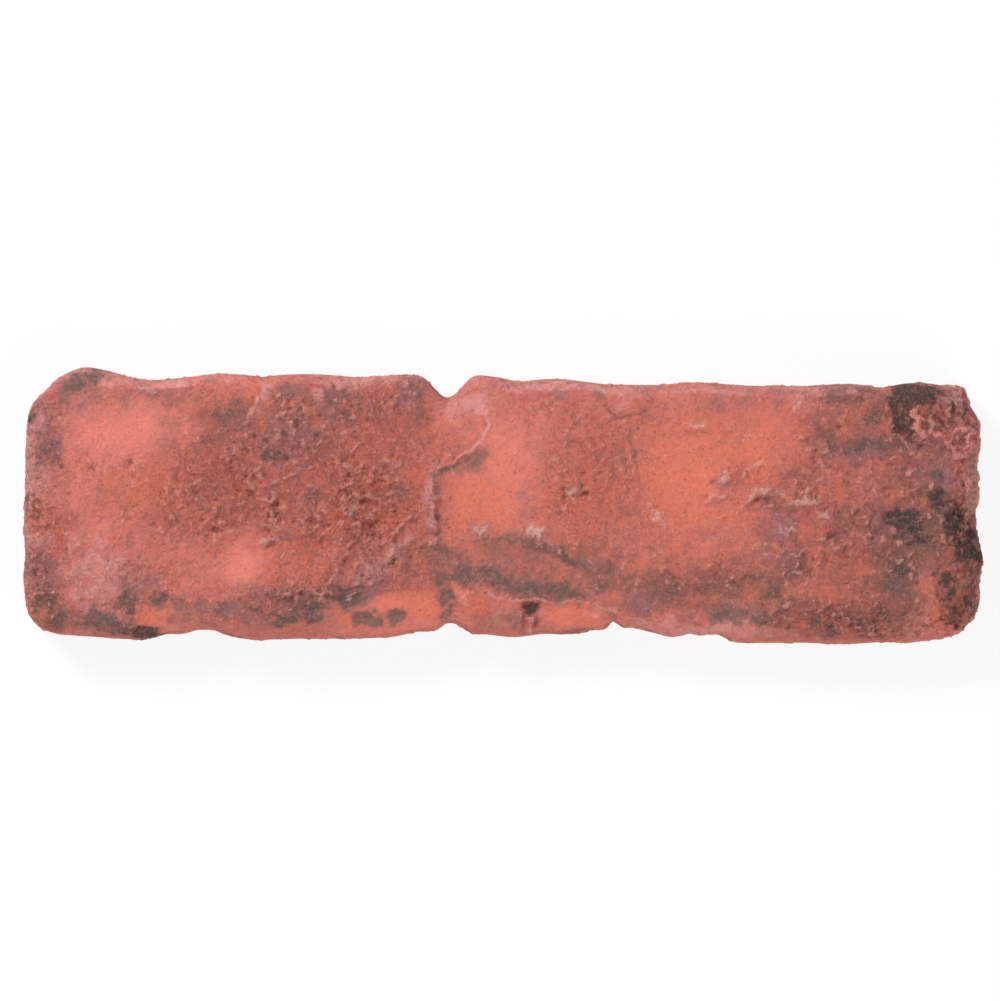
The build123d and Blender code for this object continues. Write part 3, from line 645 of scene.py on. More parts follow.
    lines: tuple[Streak, ...] = (
        # Painted highlight on the lit sides of the lip round the hollow, and painted shade on its far sides
        # and down the hollow's left wall
        Streak(Pigment.BLOOM, [(-3.6, 24.5), (-3.5, 21), (-4.6, 17.6), (-7, 15.2), (-10, 13.7), (-12.6, 11.8),
                               (-18, 9.9)], 0.36, 0.7),
        Streak(Pigment.SLATE, [(-5.4, 14.6), (-9.2, 12), (-12.6, 10.2), (-16.8, 8.4)], 0.7, 0.6),
        Streak(Pigment.UMBER, [(-20.6, 31.5), (-20.7, 26), (-20.6, 20.5)], 0.9, 0.7),
        Streak(Pigment.BLOOM, [(-18.4, 8), (-17.4, 4.6), (-17.6, 0.4), (-17.2, -4)], 0.4, 0.7),
        Streak(Pigment.SLATE, [(-16.2, 6), (-15.8, 0.4), (-15.6, -6), (-16.4, -9.6)], 0.7, 0.2),
        # Pale break of the upper edge, partly a painted highlight on its crests, and the scuff down the left
        # end
        Streak(Pigment.BLOOM, [(-62.6, 23.4), (-61.2, 25.6), (-59.6, 28.6), (-59.4, 31)], 0.55, 0.95),
        Streak(Pigment.BLOOM, [(-56.4, 22.6), (-53, 24.4), (-49.4, 25.8)], 0.35, 0.8),
        Streak(Pigment.RED, [(-56.6, 24.6), (-52, 25.8), (-48.6, 26.6)], 0.5, 0.8),
        Streak(Pigment.BLOOM, [(-107.6, -7.5), (-107, -11.5), (-106.2, -17.2), (-105.5, -24.5)], 0.35, 0.75),
        # Edge of the arch and lip of the shelf
        Streak(Pigment.SLATE, [(-2.6, -7.8), (3.6, -8.2), (10.4, -9.4), (14.6, -12.1), (19.4, -15.4)],
               0.35, 0.7),
        Streak(Pigment.BLOOM, [(-4, -20.6), (-0.5, -22.3), (4.5, -23.1), (15.8, -23.1), (22, -23.4),
                               (28, -25.4)], 0.35, 0.65),
        # Crack round the bulge of the upper edge and down from it
        Streak(Pigment.UMBER, [(25.5, 29), (26, 24.8), (28.5, 22.8), (34.5, 23.5), (37, 25.2)], 0.5, 0.5),
        Streak(Pigment.UMBER, [(31.2, 21.8), (32, 17.2), (33.2, 12.8), (34, 8.5), (34.5, 6)], 0.35, 0.6),
        # Torn lip of the smooth pan, partly a painted highlight along it, and pale crumbs along the arc
        Streak(Pigment.BLOOM, [(59.7, 7.6), (60.6, 9.4), (62.5, 11), (65, 11.7)], 0.4, 0.45),
        Streak(Pigment.PALE, [(59.4, 0.2), (61.4, 2.6), (63.4, 4.2), (66.4, 5.2), (69.8, 3.4)], 0.4, 0.4),
        # Broken aggregate in the upper right corner
        Streak(Pigment.TORN, [(102.2, 24), (103.8, 22.2), (102.8, 20.2), (104.6, 18.2)], 0.8, 1.0),
        Streak(Pigment.TORN, [(106.6, 19.2), (109, 18.2), (111, 15.8), (112.5, 13.2), (114, 12.8)],
               0.45, 0.5),
        Streak(Pigment.TORN, [(113.2, 19.8), (116, 19.4), (116.5, 16), (115, 13.4)], 0.65, 0.95),
    )
    ragged_mm: float = 1.5  # how far fine noise bends the outlines of the stains
    swayed_mm: float = 1.6  # how far broad noise moves them

    def laid(
        self, swayed: tuple[np.ndarray, np.ndarray], carved: tuple[np.ndarray, np.ndarray]
    ) -> dict[Pigment, np.ndarray]:
        """Lays every stain, where the thickest one of its pigment counts.

        Args:
            swayed: The places as the ragged stains see them.
            carved: The places as the carving sees them, for lines that keep to its lips.

        Returns:
            How much of each pigment lies at each place.
        """
        cover = {pigment: np.zeros(swayed[0].shape) for pigment in Pigment}
        for stain in (*self.patches, *self.streaks):
            cover[stain.pigment] = np.maximum(cover[stain.pigment], stain.cover(*swayed))
        for line in self.lines:
            cover[line.pigment] = np.maximum(cover[line.pigment], line.cover(*carved))
        return cover


@dataclass
class Shading:
    """A material while its nodes are being added, with the textures and sums that they share."""

    name: str

    def __post_init__(self) -> None:
        """Starts the material with no node but the object's own coordinates."""
        self.material = bpy.data.materials.new(self.name)
        self.material.use_nodes = True
        self.tree = self.material.node_tree
        self.tree.nodes.clear()
        self.place = add_node(self.tree, "ShaderNodeTexCoord").outputs["Object"]

    def attribute(self, name: str) -> Socket:
        """A value that the carving or the painting left on the mesh."""
        return add_node(self.tree, "ShaderNodeAttribute", {"attribute_name": name}).outputs["Fac"]

    def math(self, operation: str, first: Socket, second: Socket | float) -> Socket:
        """Does one sum.

        Args:
            operation: The sum, as a Math node names it.
            first: The texture that comes first in it.
            second: The texture or number that comes second.

        Returns:
            The outcome.
        """
        plain = isinstance(second, float)
        values, links = ({1: second}, {0: first}) if plain else ({}, {0: first, 1: second})
        return add_node(self.tree, "ShaderNodeMath", {"operation": operation}, values, links).outputs["Value"]

    def times(self, first: Socket, second: Socket | float) -> Socket:
        """A texture multiplied by another one or by a number."""
        return self.math("MULTIPLY", first, second)

    def ranged(
        self, value: Socket, low: float, high: float, least: float, most: float, eased: bool = False
    ) -> Socket:
        """Brings a value from one range to another, and holds it there.

        Args:
            value: The value.
            low: Where its own range starts.
            high: Where its own range ends.
            least: What it becomes at the start.
            most: What it becomes at the end.
            eased: Whether it starts and ends gently.

        Returns:
            The value in its new range.
        """
        return add_node(
            self.tree,
            "ShaderNodeMapRange",
            {"interpolation_type": "SMOOTHSTEP" if eased else "LINEAR"},
            {"From Min": low, "From Max": high, "To Min": least, "To Max": most},
            {"Value": value},
        ).outputs["Result"]

    def noise(
        self, size_mm: float, detail: float, rough: float = 0.5, place: Optional[Socket] = None
    ) -> bpy.types.Node:
        """Adds noise.

        Args:
            size_mm: Its coarsest grain.
            detail: How many finer grains are added, each half the size of the last.
            rough: How strong each grain is against the last.
            place: The coordinates that it is read at, if they aren't the object's own.

        Returns:
            The texture's node.
        """
        return add_node(
            self.tree,
            "ShaderNodeTexNoise",
            values={"Scale": per_mm(size_mm), "Detail": detail, "Roughness": rough},
            links={"Vector": self.place if place is None else place},
        )

    def speckle(self, size_mm: float, shift_cm: float, detail: float = 4.0) -> Socket:
        """Rough noise centred on a half.

        Args:
            size_mm: Its coarsest grain.
            shift_cm: How far it is moved, so that two noises of one size differ.
            detail: How many finer grains are added.

        Returns:
            Its value.
        """
        shift = {1: (shift_cm * 10 * MM,) * 3}
        moved = add_node(self.tree, "ShaderNodeVectorMath", {"operation": "ADD"}, shift, {0: self.place})
        return self.noise(size_mm, detail, SPECKLE_ROUGH, moved.outputs["Vector"]).outputs["Fac"]

    def cells(self, spacing_mm: float, place: Optional[Socket] = None) -> bpy.types.Node:
        """Adds cells round scattered points.

        Args:
            spacing_mm: How far apart the points lie.
            place: The coordinates that they are read at, if they aren't the object's own.

        Returns:
            The texture's node.
        """
        links = {"Vector": self.place if place is None else place}
        return add_node(self.tree, "ShaderNodeTexVoronoi", None, {"Scale": per_mm(spacing_mm)}, links)

    def mixed(self, under: Socket | str, over: str, factor: Socket) -> Socket:
        """Lays one colour over another.

        Args:
            under: The colour that is there, or a plain one.
            over: The colour that is laid over it.
            factor: How much of it shows.

        Returns:
            The mixed colour.
        """
        values, links = {7: linear(over)}, {0: factor}
        if isinstance(under, str):
            values[6] = linear(under)
        else:
            links[6] = under
        return add_node(self.tree, "ShaderNodeMix", {"data_type": "RGBA"}, values, links).outputs[2]

    def bump(
        self, height: Socket, rise_mm: float, normal: Optional[Socket] = None, strength: float = 1.0
    ) -> Socket:
        """Tilts the surface by the slope of a height.

        Args:
            height: The height.
            rise_mm: How far a height of one rises, or sinks if it is below nought.
            normal: The normal that another bump left, if there is one.
            strength: How much of the tilt shows.

        Returns:
            The tilted normal.
        """
        links = {"Height": height} if normal is None else {"Height": height, "Normal": normal}
        values = {"Strength": strength, "Distance": rise_mm * MM}
        return add_node(self.tree, "ShaderNodeBump", None, values, links).outputs["Normal"]

    def finished(self, colour: Socket, normal: Socket, rough: float) -> bpy.types.Material:
        """Feeds a chalky, hardly shining shader.

        Args:
            colour: Its colour.
            normal: Its normal.
            rough: Its roughness.

        Returns:
            The finished material.
        """
        shader = add_node(
            self.tree,
            "ShaderNodeBsdfPrincipled",
            values={"Roughness": rough, "IOR": CEMENT_IOR, "Specular IOR Level": CHALKY_SPECULAR},
            links={"Base Color": colour, "Normal": normal},
        )
        add_node(self.tree, "ShaderNodeOutputMaterial", links={"Surface": shader.outputs["BSDF"]})
        return self.material


class NoisePlace(Enum):
    """Where each family of speckles is taken from, in centimetres, so that none repeats another."""

    DRIFTS = 10.0
    STAINS = 20.0
    SHOWING_THROUGH = 35.0
    SAND = 40.0
    PITS_AND_LIPS = 41.0
    GRIT = 50.0


@dataclass(frozen=True)
class Fleck:
    """One kind of fleck that noise lays over a colour."""

    colour: str
    size_mm: float
    low: float  # noise at which it starts to show
    high: float  # noise at which it is all there
    most: float  # its opacity there


@dataclass(frozen=True)
class BreakUp:
    """How noise eats into the soft cover of a pigment."""

    strength: float
    low: float  # broken cover at which the pigment starts to show
    high: float  # broken cover at which it is all there
    most: float  # its opacity there


@dataclass(frozen=True)
class PigmentedConcrete:
    """Cement mortar coloured with iron oxides, cast against a rubber mould of an old brick.

    The mould gives it a dry, chalky skin with no gloss at all: the eye reads it by its grain
    and by the way pigments, dust and dark stains break up over that grain.
    """

    body: str = "#CD7568"
    orange: str = "#D9745E"
    red: str = "#B96054"
    salmon: str = "#DF8073"
    mauve: str = "#9B6A6A"
    umber: str = "#8C5F56"
    slate: str = "#6D5953"
    soot: str = "#403F3B"
    # pink powder on the skin, also the colour of painted highlights
    bloom_and_highlight: str = "#E09894"
    torn: str = "#FB9C96"
    sand: str = "#C89A86"
    pale: str = "#CDB0A8"
    lip: str = "#E39C8D"  # worn lips, where the chalky skin is rubbed, and pale grains; on crests and raised sand also a painted highlight
    # painted shade of the pits, the sunk sand and the pinholes
    crevice_shade: str = "#6E3F38"
    grain_mm: float = 0.5  # sand in the mix
    speck_mm: float = 0.9  # coarse sand and pinholes
    blotch_mm: float = 3.2  # dust and stains, broken up from this size down to the sand
    cloud_mm: float = 9.0  # how far the oxides drift through the mix
    grit_rise_mm: float = 3.4  # of the bumps, where the face is coarse
    crumb_rise_mm: float = 0.45
    sand_rise_mm: float = -0.4  # all over
    crumb_bend: float = 0.0016  # how far noise bends the outlines of the crumbs, in metres
    rough: float = 0.93

    def material(self) -> bpy.types.Material:
        """Builds the material, named for what it is."""
        shading = Shading("pigmented_cast_concrete")
        return shading.finished(self._colour(shading), self._normal(shading), self.rough)

    def _specks(self, shading: Shading, spacing_mm: float, share: float) -> Socket:
        """Scatters round specks.

        Args:
            shading: The material.
            spacing_mm: The size of the cells that may hold one each.
            share: The share of the cells that do.

        Returns:
            One on a speck and nought beside it.
        """
        cells = shading.cells(spacing_mm)
        core, rim = 0.12, 0.42  # of the spacing
        dot = shading.ranged(cells.outputs["Distance"], core, rim, 1.0, 0.0, eased=True)
        drawn = add_node(shading.tree, "ShaderNodeSeparateColor", links={"Color": cells.outputs["Color"]})
        return shading.times(dot, shading.math("LESS_THAN", drawn.outputs["Red"], share))

    def _broken(self, shading: Shading, amount: Socket, speckle: Socket, breakup: BreakUp) -> Socket:
        """Breaks a soft cover up over the grain, and only where there is some cover.

        Args:
            shading: The material.
            amount: The soft cover.
            speckle: Noise centred on a half.
            breakup: How the noise eats into it.

        Returns:
            How much of the pigment shows.
        """
        centred = shading.math("SUBTRACT", speckle, 0.5)
        some = shading.math("MINIMUM", shading.times(amount, 5.0), 1.0)  # all from a fifth on
        swing = shading.times(shading.times(centred, breakup.strength), some)
        broken = shading.math("ADD", amount, swing)
        return shading.ranged(broken, breakup.low, breakup.high, 0.0, breakup.most, eased=True)

    def _flecked(
        self, shading: Shading, under: Socket | str, amount: Socket, flecks: Sequence[Fleck], shift_cm: float
    ) -> Socket:
        """Lays noisy flecks over a colour.

        Args:
            shading: The material.
            under: The colour that they lie on.
            amount: How strongly all of them show.
            flecks: The kinds of fleck.
            shift_cm: Where the noise of the first kind is taken from.

        Returns:
            The flecked colour.
        """
        colour = under
        for nth, fleck in enumerate(flecks):
            speckle = shading.speckle(fleck.size_mm, shift_cm + nth, STAIN_DETAIL)
            shown = shading.ranged(speckle, fleck.low, fleck.high, 0.0, fleck.most)
            colour = shading.mixed(colour, fleck.colour, shading.times(shown, amount))
        return colour

    def _mix(self, shading: Shading, coarse: Socket) -> Socket:
        """Lets oxides and dust drift through the mix, more so where the face is coarse.

        Args:
            shading: The material.
            coarse: How coarse the face is.

        Returns:
            The colour of the plain mix.
        """
        drifts = (
            Fleck(self.orange, self.cloud_mm, 0.46, 0.6, 0.75),
            Fleck(self.salmon, self.blotch_mm * 1.8, 0.5, 0.64, 0.75),
            Fleck(self.red, self.blotch_mm * 1.3, 0.5, 0.64, 0.8),
            Fleck(self.umber, self.blotch_mm, 0.52, 0.66, 0.75),
            Fleck(self.mauve, self.blotch_mm * 0.8, 0.52, 0.66, 0.75),
            Fleck(self.orange, self.blotch_mm * 0.8, 0.53, 0.62, 0.85),
        )
        loose = shading.ranged(coarse, 0.0, 1.0, 0.35, 1.0)
        return self._flecked(shading, self.body, loose, drifts, NoisePlace.DRIFTS.value)

    def _stained(self, shading: Shading, under: Socket) -> Socket:
        """Lays the pigments over the mix, each as the mesh holds it.

        Args:
            shading: The material.
            under: The mix.

        Returns:
            The stained colour.
        """
        layers = (  # pigment, colour, size of its break-up in blotches, and break-up
            (Pigment.RED, self.red, 1.6, BreakUp(2.0, 0.0, 0.9, 0.8)),
            (Pigment.SALMON, self.salmon, 1.8, BreakUp(1.6, 0.0, 0.9, 0.85)),
            (Pigment.ORANGE, self.orange, 1.6, BreakUp(1.6, 0.0, 0.8, 0.9)),
            (Pigment.UMBER, self.umber, 1.6, BreakUp(2.0, 0.0, 0.9, 0.85)),
            (Pigment.MAUVE, self.mauve, 1.3, BreakUp(2.0, 0.0, 0.9, 0.88)),
            (Pigment.BLOOM, self.bloom_and_highlight, 1.2, BreakUp(2.0, 0.05, 1.0, 0.85)),
            (Pigment.SAND, self.sand, 1.2, BreakUp(2.0, 0.05, 1.0, 0.8)),
            (Pigment.SLATE, self.slate, 1.2, BreakUp(2.2, 0.0, 0.95, 0.88)),
            (Pigment.SOOT, self.soot, 1.1, BreakUp(3.2, 0.1, 1.0, 0.92)),
            (Pigment.PALE, self.pale, 0.35, BreakUp(3.0, 0.1, 0.9, 0.9)),
            (Pigment.TORN, self.torn, 0.45, BreakUp(3.0, 0.1, 0.6, 1.0)),
        )
        colour = under
        for nth, (pigment, over, size, breakup) in enumerate(layers):
            speckle = shading.speckle(self.blotch_mm * size, NoisePlace.STAINS.value + nth, STAIN_DETAIL)
            shown = self._broken(shading, shading.attribute(pigment.value), speckle, breakup)
            colour = shading.mixed(colour, over, shown)
        return colour

    def _pit_shade_and_worn_lit_lips(self, shading: Shading, under: Socket) -> Socket:
        """Darkens the pits with painted shade, and makes the lips pale, partly as wear and partly as a
        painted highlight, less so under soot.

        Args:
            shading: The material.
            under: The stained colour.

        Returns:
            The colour with the painted shade of the pits and the pale lips.
        """
        speckle = shading.speckle(self.grain_mm, NoisePlace.PITS_AND_LIPS.value)
        cavity, crest = shading.attribute(CarvedMask.CAVITY.value), shading.attribute(CarvedMask.CREST.value)
        # Painted shade: the pits darken by how far they sink below the softened level.
        pit_shade = self._broken(shading, cavity, speckle, BreakUp(1.6, 0.1, 1.0, 0.65))
        colour = shading.mixed(under, self.crevice_shade, pit_shade)
        # Partly wear and partly painted highlight: the crests go pale by how far they rise above the softened
        # level.
        worn = self._broken(shading, crest, speckle, BreakUp(2.0, 0.15, 0.9, 0.75))
        clean = shading.ranged(shading.attribute(Pigment.SOOT.value), 0.1, 0.9, 1.0, 0.35)
        return shading.mixed(colour, self.lip, shading.times(worn, clean))

    def _sanded(self, shading: Shading, under: Socket) -> Socket:
        """Shows the sand of the mix, dark where its bump sinks and pale where it rises, partly its own tone
        and partly painted shade and highlight, with pinholes of painted shade and pale grains.

        Args:
            shading: The material.
            under: The colour with the painted shade of the pits and the pale lips.

        Returns:
            The finished colour.
        """
        sand = self._sand(shading)
        # The sand bump sinks where the sand is high: the darkening there is painted shade, and the paling
        # where it is low is painted highlight, over the sand's own tone.
        colour = shading.mixed(under, self.crevice_shade, shading.ranged(sand, 0.54, 0.74, 0.0, 0.3))
        colour = shading.mixed(colour, self.lip, shading.ranged(sand, 0.46, 0.28, 0.0, 0.3))
        # Pinholes: dark specks of painted shade, with no hole in the bump.
        pinholes = shading.times(self._specks(shading, self.speck_mm * 1.2, 0.16), 0.35)
        colour = shading.mixed(colour, self.crevice_shade, pinholes)
        grains = shading.times(self._specks(shading, self.speck_mm, 0.1), 0.2)
        return shading.mixed(colour, self.lip, grains)

    def _sand(self, shading: Shading) -> Socket:
        """The sand, which the colour and the bump share."""
        return shading.speckle(self.grain_mm * 1.6, NoisePlace.SAND.value)

    def _colour(self, shading: Shading) -> Socket:
        """Lays the drifting mix, the stains, the mix that shows through them, the painted shade of the pits
        with the worn and lit lips, and the sand.

        Args:
            shading: The material.

        Returns:
            The finished colour.
        """
        coarse = shading.attribute(CarvedMask.GRAIN.value)
        colour = self._stained(shading, self._mix(shading, coarse))
        through = (
            Fleck(self.body, self.blotch_mm * 0.5, 0.55, 0.66, 0.5),
            Fleck(self.red, self.blotch_mm * 0.4, 0.56, 0.66, 0.4),
            Fleck(self.umber, self.blotch_mm * 0.45, 0.56, 0.68, 0.4),
        )
        loose = shading.ranged(coarse, 0.0, 1.0, 0.3, 1.0)
        colour = self._flecked(shading, colour, loose, through, NoisePlace.SHOWING_THROUGH.value)
        return self._sanded(shading, self._pit_shade_and_worn_lit_lips(shading, colour))

    def _normal(self, shading: Shading) -> Socket:
        """Tilts the surface: grit where the face is coarse, crumbs likewise, and sand all over.

        Args:
            shading: The material.

        Returns:
            The tilted normal.
        """
        coarse = shading.attribute(CarvedMask.GRAIN.value)
        grit = shading.times(shading.speckle(self.speck_mm * 3.2, NoisePlace.GRIT.value, 6.0), coarse)
        gritty = shading.bump(grit, self.grit_rise_mm)
        bend = shading.noise(self.speck_mm * 1.5, 3.0).outputs["Color"]
        bent = add_node(
            shading.tree,
            "ShaderNodeVectorMath",
            {"operation": "MULTIPLY_ADD"},
            {1: (self.crumb_bend,) * 3},
            {0: bend, 2: shading.place},
        ).outputs["Vector"]
        cells = shading.cells(self.speck_mm * 1.6, bent).outputs["Distance"]
        crumbs = shading.times(shading.times(cells, coarse), -1.0)
        crumbly = shading.bump(crumbs, self.crumb_rise_mm, gritty)
        return shading.bump(self._sand(shading), self.sand_rise_mm, crumbly)


@dataclass(frozen=True)
class MouldedBed:
    """The same concrete as it set in the open top of the mould, struck off with a board.

    No pigment was brushed on here, so it shows the even, paler red-grey of the mix itself,
    with fine air holes and the drag marks of the board.
    """

    mix: str = "#B98377"
    laitance: str = "#C9A196"  # the thin cement skin that rises to the top
    # painted shade of the air holes
    hollow: str = "#7C5149"
    cloud_mm: float = 14.0  # how far the laitance drifts
    mark_mm: float = 3.5  # width of the marks of the board
    mark_squash: float = 0.12  # their width against their length
    hole_mm: float = 2.4  # spacing of the air holes
    drag_rise_mm: float = 0.35
    hole_rise_mm: float = -0.5
    rough: float = 0.9

    def material(self) -> bpy.types.Material:
        """Builds the material.

        Returns:
            The finished material, named for what it is.
        """
        shading = Shading("struck_off_concrete")
        squash = {"Scale": (self.mark_squash, 1.0, 1.0)}
        along = add_node(shading.tree, "ShaderNodeMapping", None, squash, {"Vector": shading.place})
        drag = shading.noise(self.mark_mm, 5.0, 0.65, along.outputs["Vector"]).outputs["Fac"]
        cloud = shading.noise(self.cloud_mm, 5.0).outputs["Fac"]
        core, rim = 0.1, 0.26  # of a hole, in spacings
        holes = shading.ranged(shading.cells(self.hole_mm).outputs["Distance"], core, rim, 1.0, 0.0)
        # The air holes are darkened with painted shade, as well as sunk by the bump.
        colour = shading.mixed(shading.mixed(self.mix, self.laitance, cloud), self.hollow, holes)
        dragged = shading.bump(drag, self.drag_rise_mm, strength=0.7)
        pocked = shading.bump(holes, self.hole_rise_mm, dragged, strength=0.8)
        return shading.finished(colour, pocked, self.rough)


@dataclass
class VeneerCasting:
    """The tile as one closed casting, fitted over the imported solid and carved."""

    node: str = TILE_NODE
    pitch_mm: float = 0.48  # of the mesh over the face
    core_inset_mm: float = 10.0  # how far inside the walls the fitting rays start
    core_depth_mm: float = 8.0  # how far below the face they start
    upper_rings: int = 9  # rings of the wall above the level where the rays start
    lower_rings: int = 6  # rings below it
    bed_margin_mm: float = 2.0
    still_mm: float = 3.0  # how high above the bed the carving may fully move a point up or down
    aim_mm: float = 0.02  # how far above the bed its border aims, so that no ray runs in the bed
    soften_rounds: int = 14  # how often the relief is spread to find the level round a point
    pit_shade_gain: float = 2.4  # how dark the painted shade of a pit is for each millimetre below that level
    crest_wear_and_highlight_gain: float = 3.0  # how pale a crest is for each millimetre above it, partly wear and partly painted highlight
    crumbled_right_mm: float = 100.0  # where the walls of the right end start to crumble
    crumbled_left_mm: float = -110.0
    right_run_mm: float = 12.0  # how far on they are fully crumbled
    left_run_mm: float = 6.0
    left_share: float = 0.5  # how crumbled the left end is against the right one
    wall_grain: float = 0.5  # how coarse the walls are
    relief: FaceRelief = field(default_factory=FaceRelief)
    pigments: FacePigments = field(default_factory=FacePigments)
    face_finish: PigmentedConcrete = field(default_factory=PigmentedConcrete)
    bed_finish: MouldedBed = field(default_factory=MouldedBed)

    def __post_init__(self) -> None:
        """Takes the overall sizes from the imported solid."""
        low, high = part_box(self.node)
        self.low, self.high = Vector(low), Vector(high)
        self.middle = (self.low + self.high) / 2
        self.length = self.high.x - self.low.x
        self.height = self.high.y - self.low.y
        self.core_half_x = self.length / 2 - self.core_inset_mm * MM
        self.core_half_y = self.height / 2 - self.core_inset_mm * MM
        self.core_level = self.high.z - self.core_depth_mm * MM

    def build(self, solid: bpy.types.Object) -> bpy.types.Object:
        """Makes the finished casting.

        Args:
            solid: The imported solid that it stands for.

        Returns:
            The casting's object, at the origin.
        """
        bm = self._open_box()
        self._fit(bm, solid)
        self._close_bed(bm)
        mesh = bpy.data.meshes.new("tile_casting")
        bm.to_mesh(mesh)
        bm.free()
        for polygon in mesh.polygons:
            polygon.use_smooth = polygon.material_index == 0
        self._carve(mesh)
        casting = bpy.data.objects.new("tile_casting", mesh)
        bpy.context.scene.collection.objects.link(casting)
        return casting

    def _open_box(self) -> bmesh.types.BMesh:
        """Makes a fine flat sheet over the face, with its border drawn down into walls.

        Returns:
            The box, which is open at the bed.
        """
        bm = bmesh.new()
        columns = round(self.length / (self.pitch_mm * MM))
        rows = round(self.height / (self.pitch_mm * MM))
        bmesh.ops.create_grid(bm, x_segments=columns, y_segments=rows, size=0.5)
        bmesh.ops.scale(bm, vec=(self.length, self.height, 1.0), verts=bm.verts)
        bmesh.ops.translate(bm, vec=(self.middle.x, self.middle.y, self.high.z), verts=bm.verts)
        upper = [(self.high.z - self.core_level) / self.upper_rings] * self.upper_rings
        lower = [self.core_level / self.lower_rings] * self.lower_rings
        border = [edge for edge in bm.edges if edge.is_boundary]
        for drop in upper + lower:
            border = self._drawn(bm, border, Vector((0.0, 0.0, -drop)))
        return bm

    def _drawn(self, bm: bmesh.types.BMesh, border: list, move: Vector) -> list:
        """Draws a border out into a new strip of faces.

        Args:
            bm: The mesh.
            border: The open edges to draw out.
            move: How far the new border lies from the old one.

        Returns:
            The new border's edges.
        """
        drawn = bmesh.ops.extrude_edge_only(bm, edges=border)["geom"]
        fresh = [item for item in drawn if isinstance(item, bmesh.types.BMVert)]
        bmesh.ops.translate(bm, vec=move, verts=fresh)
        return [item for item in drawn if isinstance(item, bmesh.types.BMEdge) and item.is_boundary]

    def _fit(self, bm: bmesh.types.BMesh, solid: bpy.types.Object) -> None:
        """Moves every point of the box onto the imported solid.

        Rays start on a flat core inside the tile. Over the face they run straight up, round the
        arris they fan out, and below the core's level they run straight to the walls.

        Args:
            bm: The box.
            solid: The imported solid.
        """
        tree = BVHTree.FromObject(solid, bpy.context.evaluated_depsgraph_get())
        for vert in bm.verts:
            off_x, off_y = vert.co.x - self.middle.x, vert.co.y - self.middle.y
            level = max(vert.co.z, self.aim_mm * MM)
            core = Vector((
                self.middle.x + max(-self.core_half_x, min(off_x, self.core_half_x)),
                self.middle.y + max(-self.core_half_y, min(off_y, self.core_half_y)),
                min(level, self.core_level),
            ))
            aim = Vector((vert.co.x, vert.co.y, level)) - core
            hit = tree.ray_cast(core, aim.normalized())[0]
            if hit is None:
                raise RuntimeError(f"no wall of the solid lies beyond {tuple(core)}")
            vert.co = hit

    def _close_bed(self, bm: bmesh.types.BMesh) -> None:
        """Closes the underside with a margin and a flat fill inside it.

        Args:
            bm: The fitted box.
        """
        border = [edge for edge in bm.edges if edge.is_boundary]
        for vert in {vert for edge in border for vert in edge.verts}:
            vert.co.z = 0.0
        before = set(bm.faces)
        inner = self._drawn(bm, border, Vector((0.0, 0.0, 0.0)))
        margin = 2.0 * self.bed_margin_mm * MM
        drawn_in = (1.0 - margin / self.length, 1.0 - margin / self.height, 1.0)
        inner_verts = list({vert for edge in inner for vert in edge.verts})
        bmesh.ops.scale(bm, vec=drawn_in, verts=inner_verts)
        bmesh.ops.triangle_fill(bm, edges=inner, use_beauty=True, normal=(0.0, 0.0, -1.0))
        for face in set(bm.faces) - before:
            face.material_index = 1
        bmesh.ops.recalc_face_normals(bm, faces=bm.faces)

    def _carve(self, mesh: bpy.types.Mesh) -> None:
        """Carves the relief along the mesh's normals and leaves on it the grain, the pigments, and the pit
        and crest masks that the material turns into painted shade and highlight.

        Args:
            mesh: The fitted casting.
        """
        places = self._read(mesh.vertices, "co", 3)
        normals = self._read(mesh.vertices, "normal", 3)
        edges = self._read(mesh.edges, "vertices", 2, np.int64)
        on_face = smooth_step(normals[:, 2] * 1.6)  # one on the face, eased to nought on the walls
        on_bed = normals[:, 2] < -0.5
        off_bed = smooth_step(places[:, 2] / (self.still_mm * MM))
        xs, ys = places[:, 0] / MM, places[:, 1] / MM
        drift = self._noise_fields(places)
        height = self._face_height(xs, ys, drift) * on_face
        height += self._wall_height(xs, drift) * (1.0 - on_face)
        height[on_bed] = 0.0
        depth = self._softened(height, edges, self.soften_rounds) - height
        normals[:, 2] *= off_bed
        places += normals * (height * MM)[:, None]
        mesh.vertices.foreach_set("co", places.ravel())
        mesh.update()
        rough = self.relief.roughness(xs, ys)
        # Masks for the painted shade of the pits and the pale crests, which are partly worn and partly
        # painted highlight.
        self._keep(mesh, CarvedMask.CAVITY.value, np.clip(depth * self.pit_shade_gain, 0.0, 1.0))
        self._keep(mesh, CarvedMask.CREST.value, np.clip(-depth * self.crest_wear_and_highlight_gain, 0.0, 1.0))
        self._keep(mesh, CarvedMask.GRAIN.value, rough * on_face + self.wall_grain * (1.0 - on_face))
        self._paint(mesh, xs, ys, drift, normals)

    def _read(
        self, items: bpy.types.bpy_prop_collection, name: str, width: int, kind: type = float
    ) -> np.ndarray:
        """Reads one property of all of a mesh's vertices or edges.

        Args:
            items: The vertices or the edges.
            name: The property.
            width: How many numbers it has for each of them.
            kind: What the numbers are.

        Returns:
            A row of numbers for each of them.
        """
        numbers = np.empty(len(items) * width, dtype=kind)
        items.foreach_get(name, numbers)
        return numbers.reshape(-1, width)

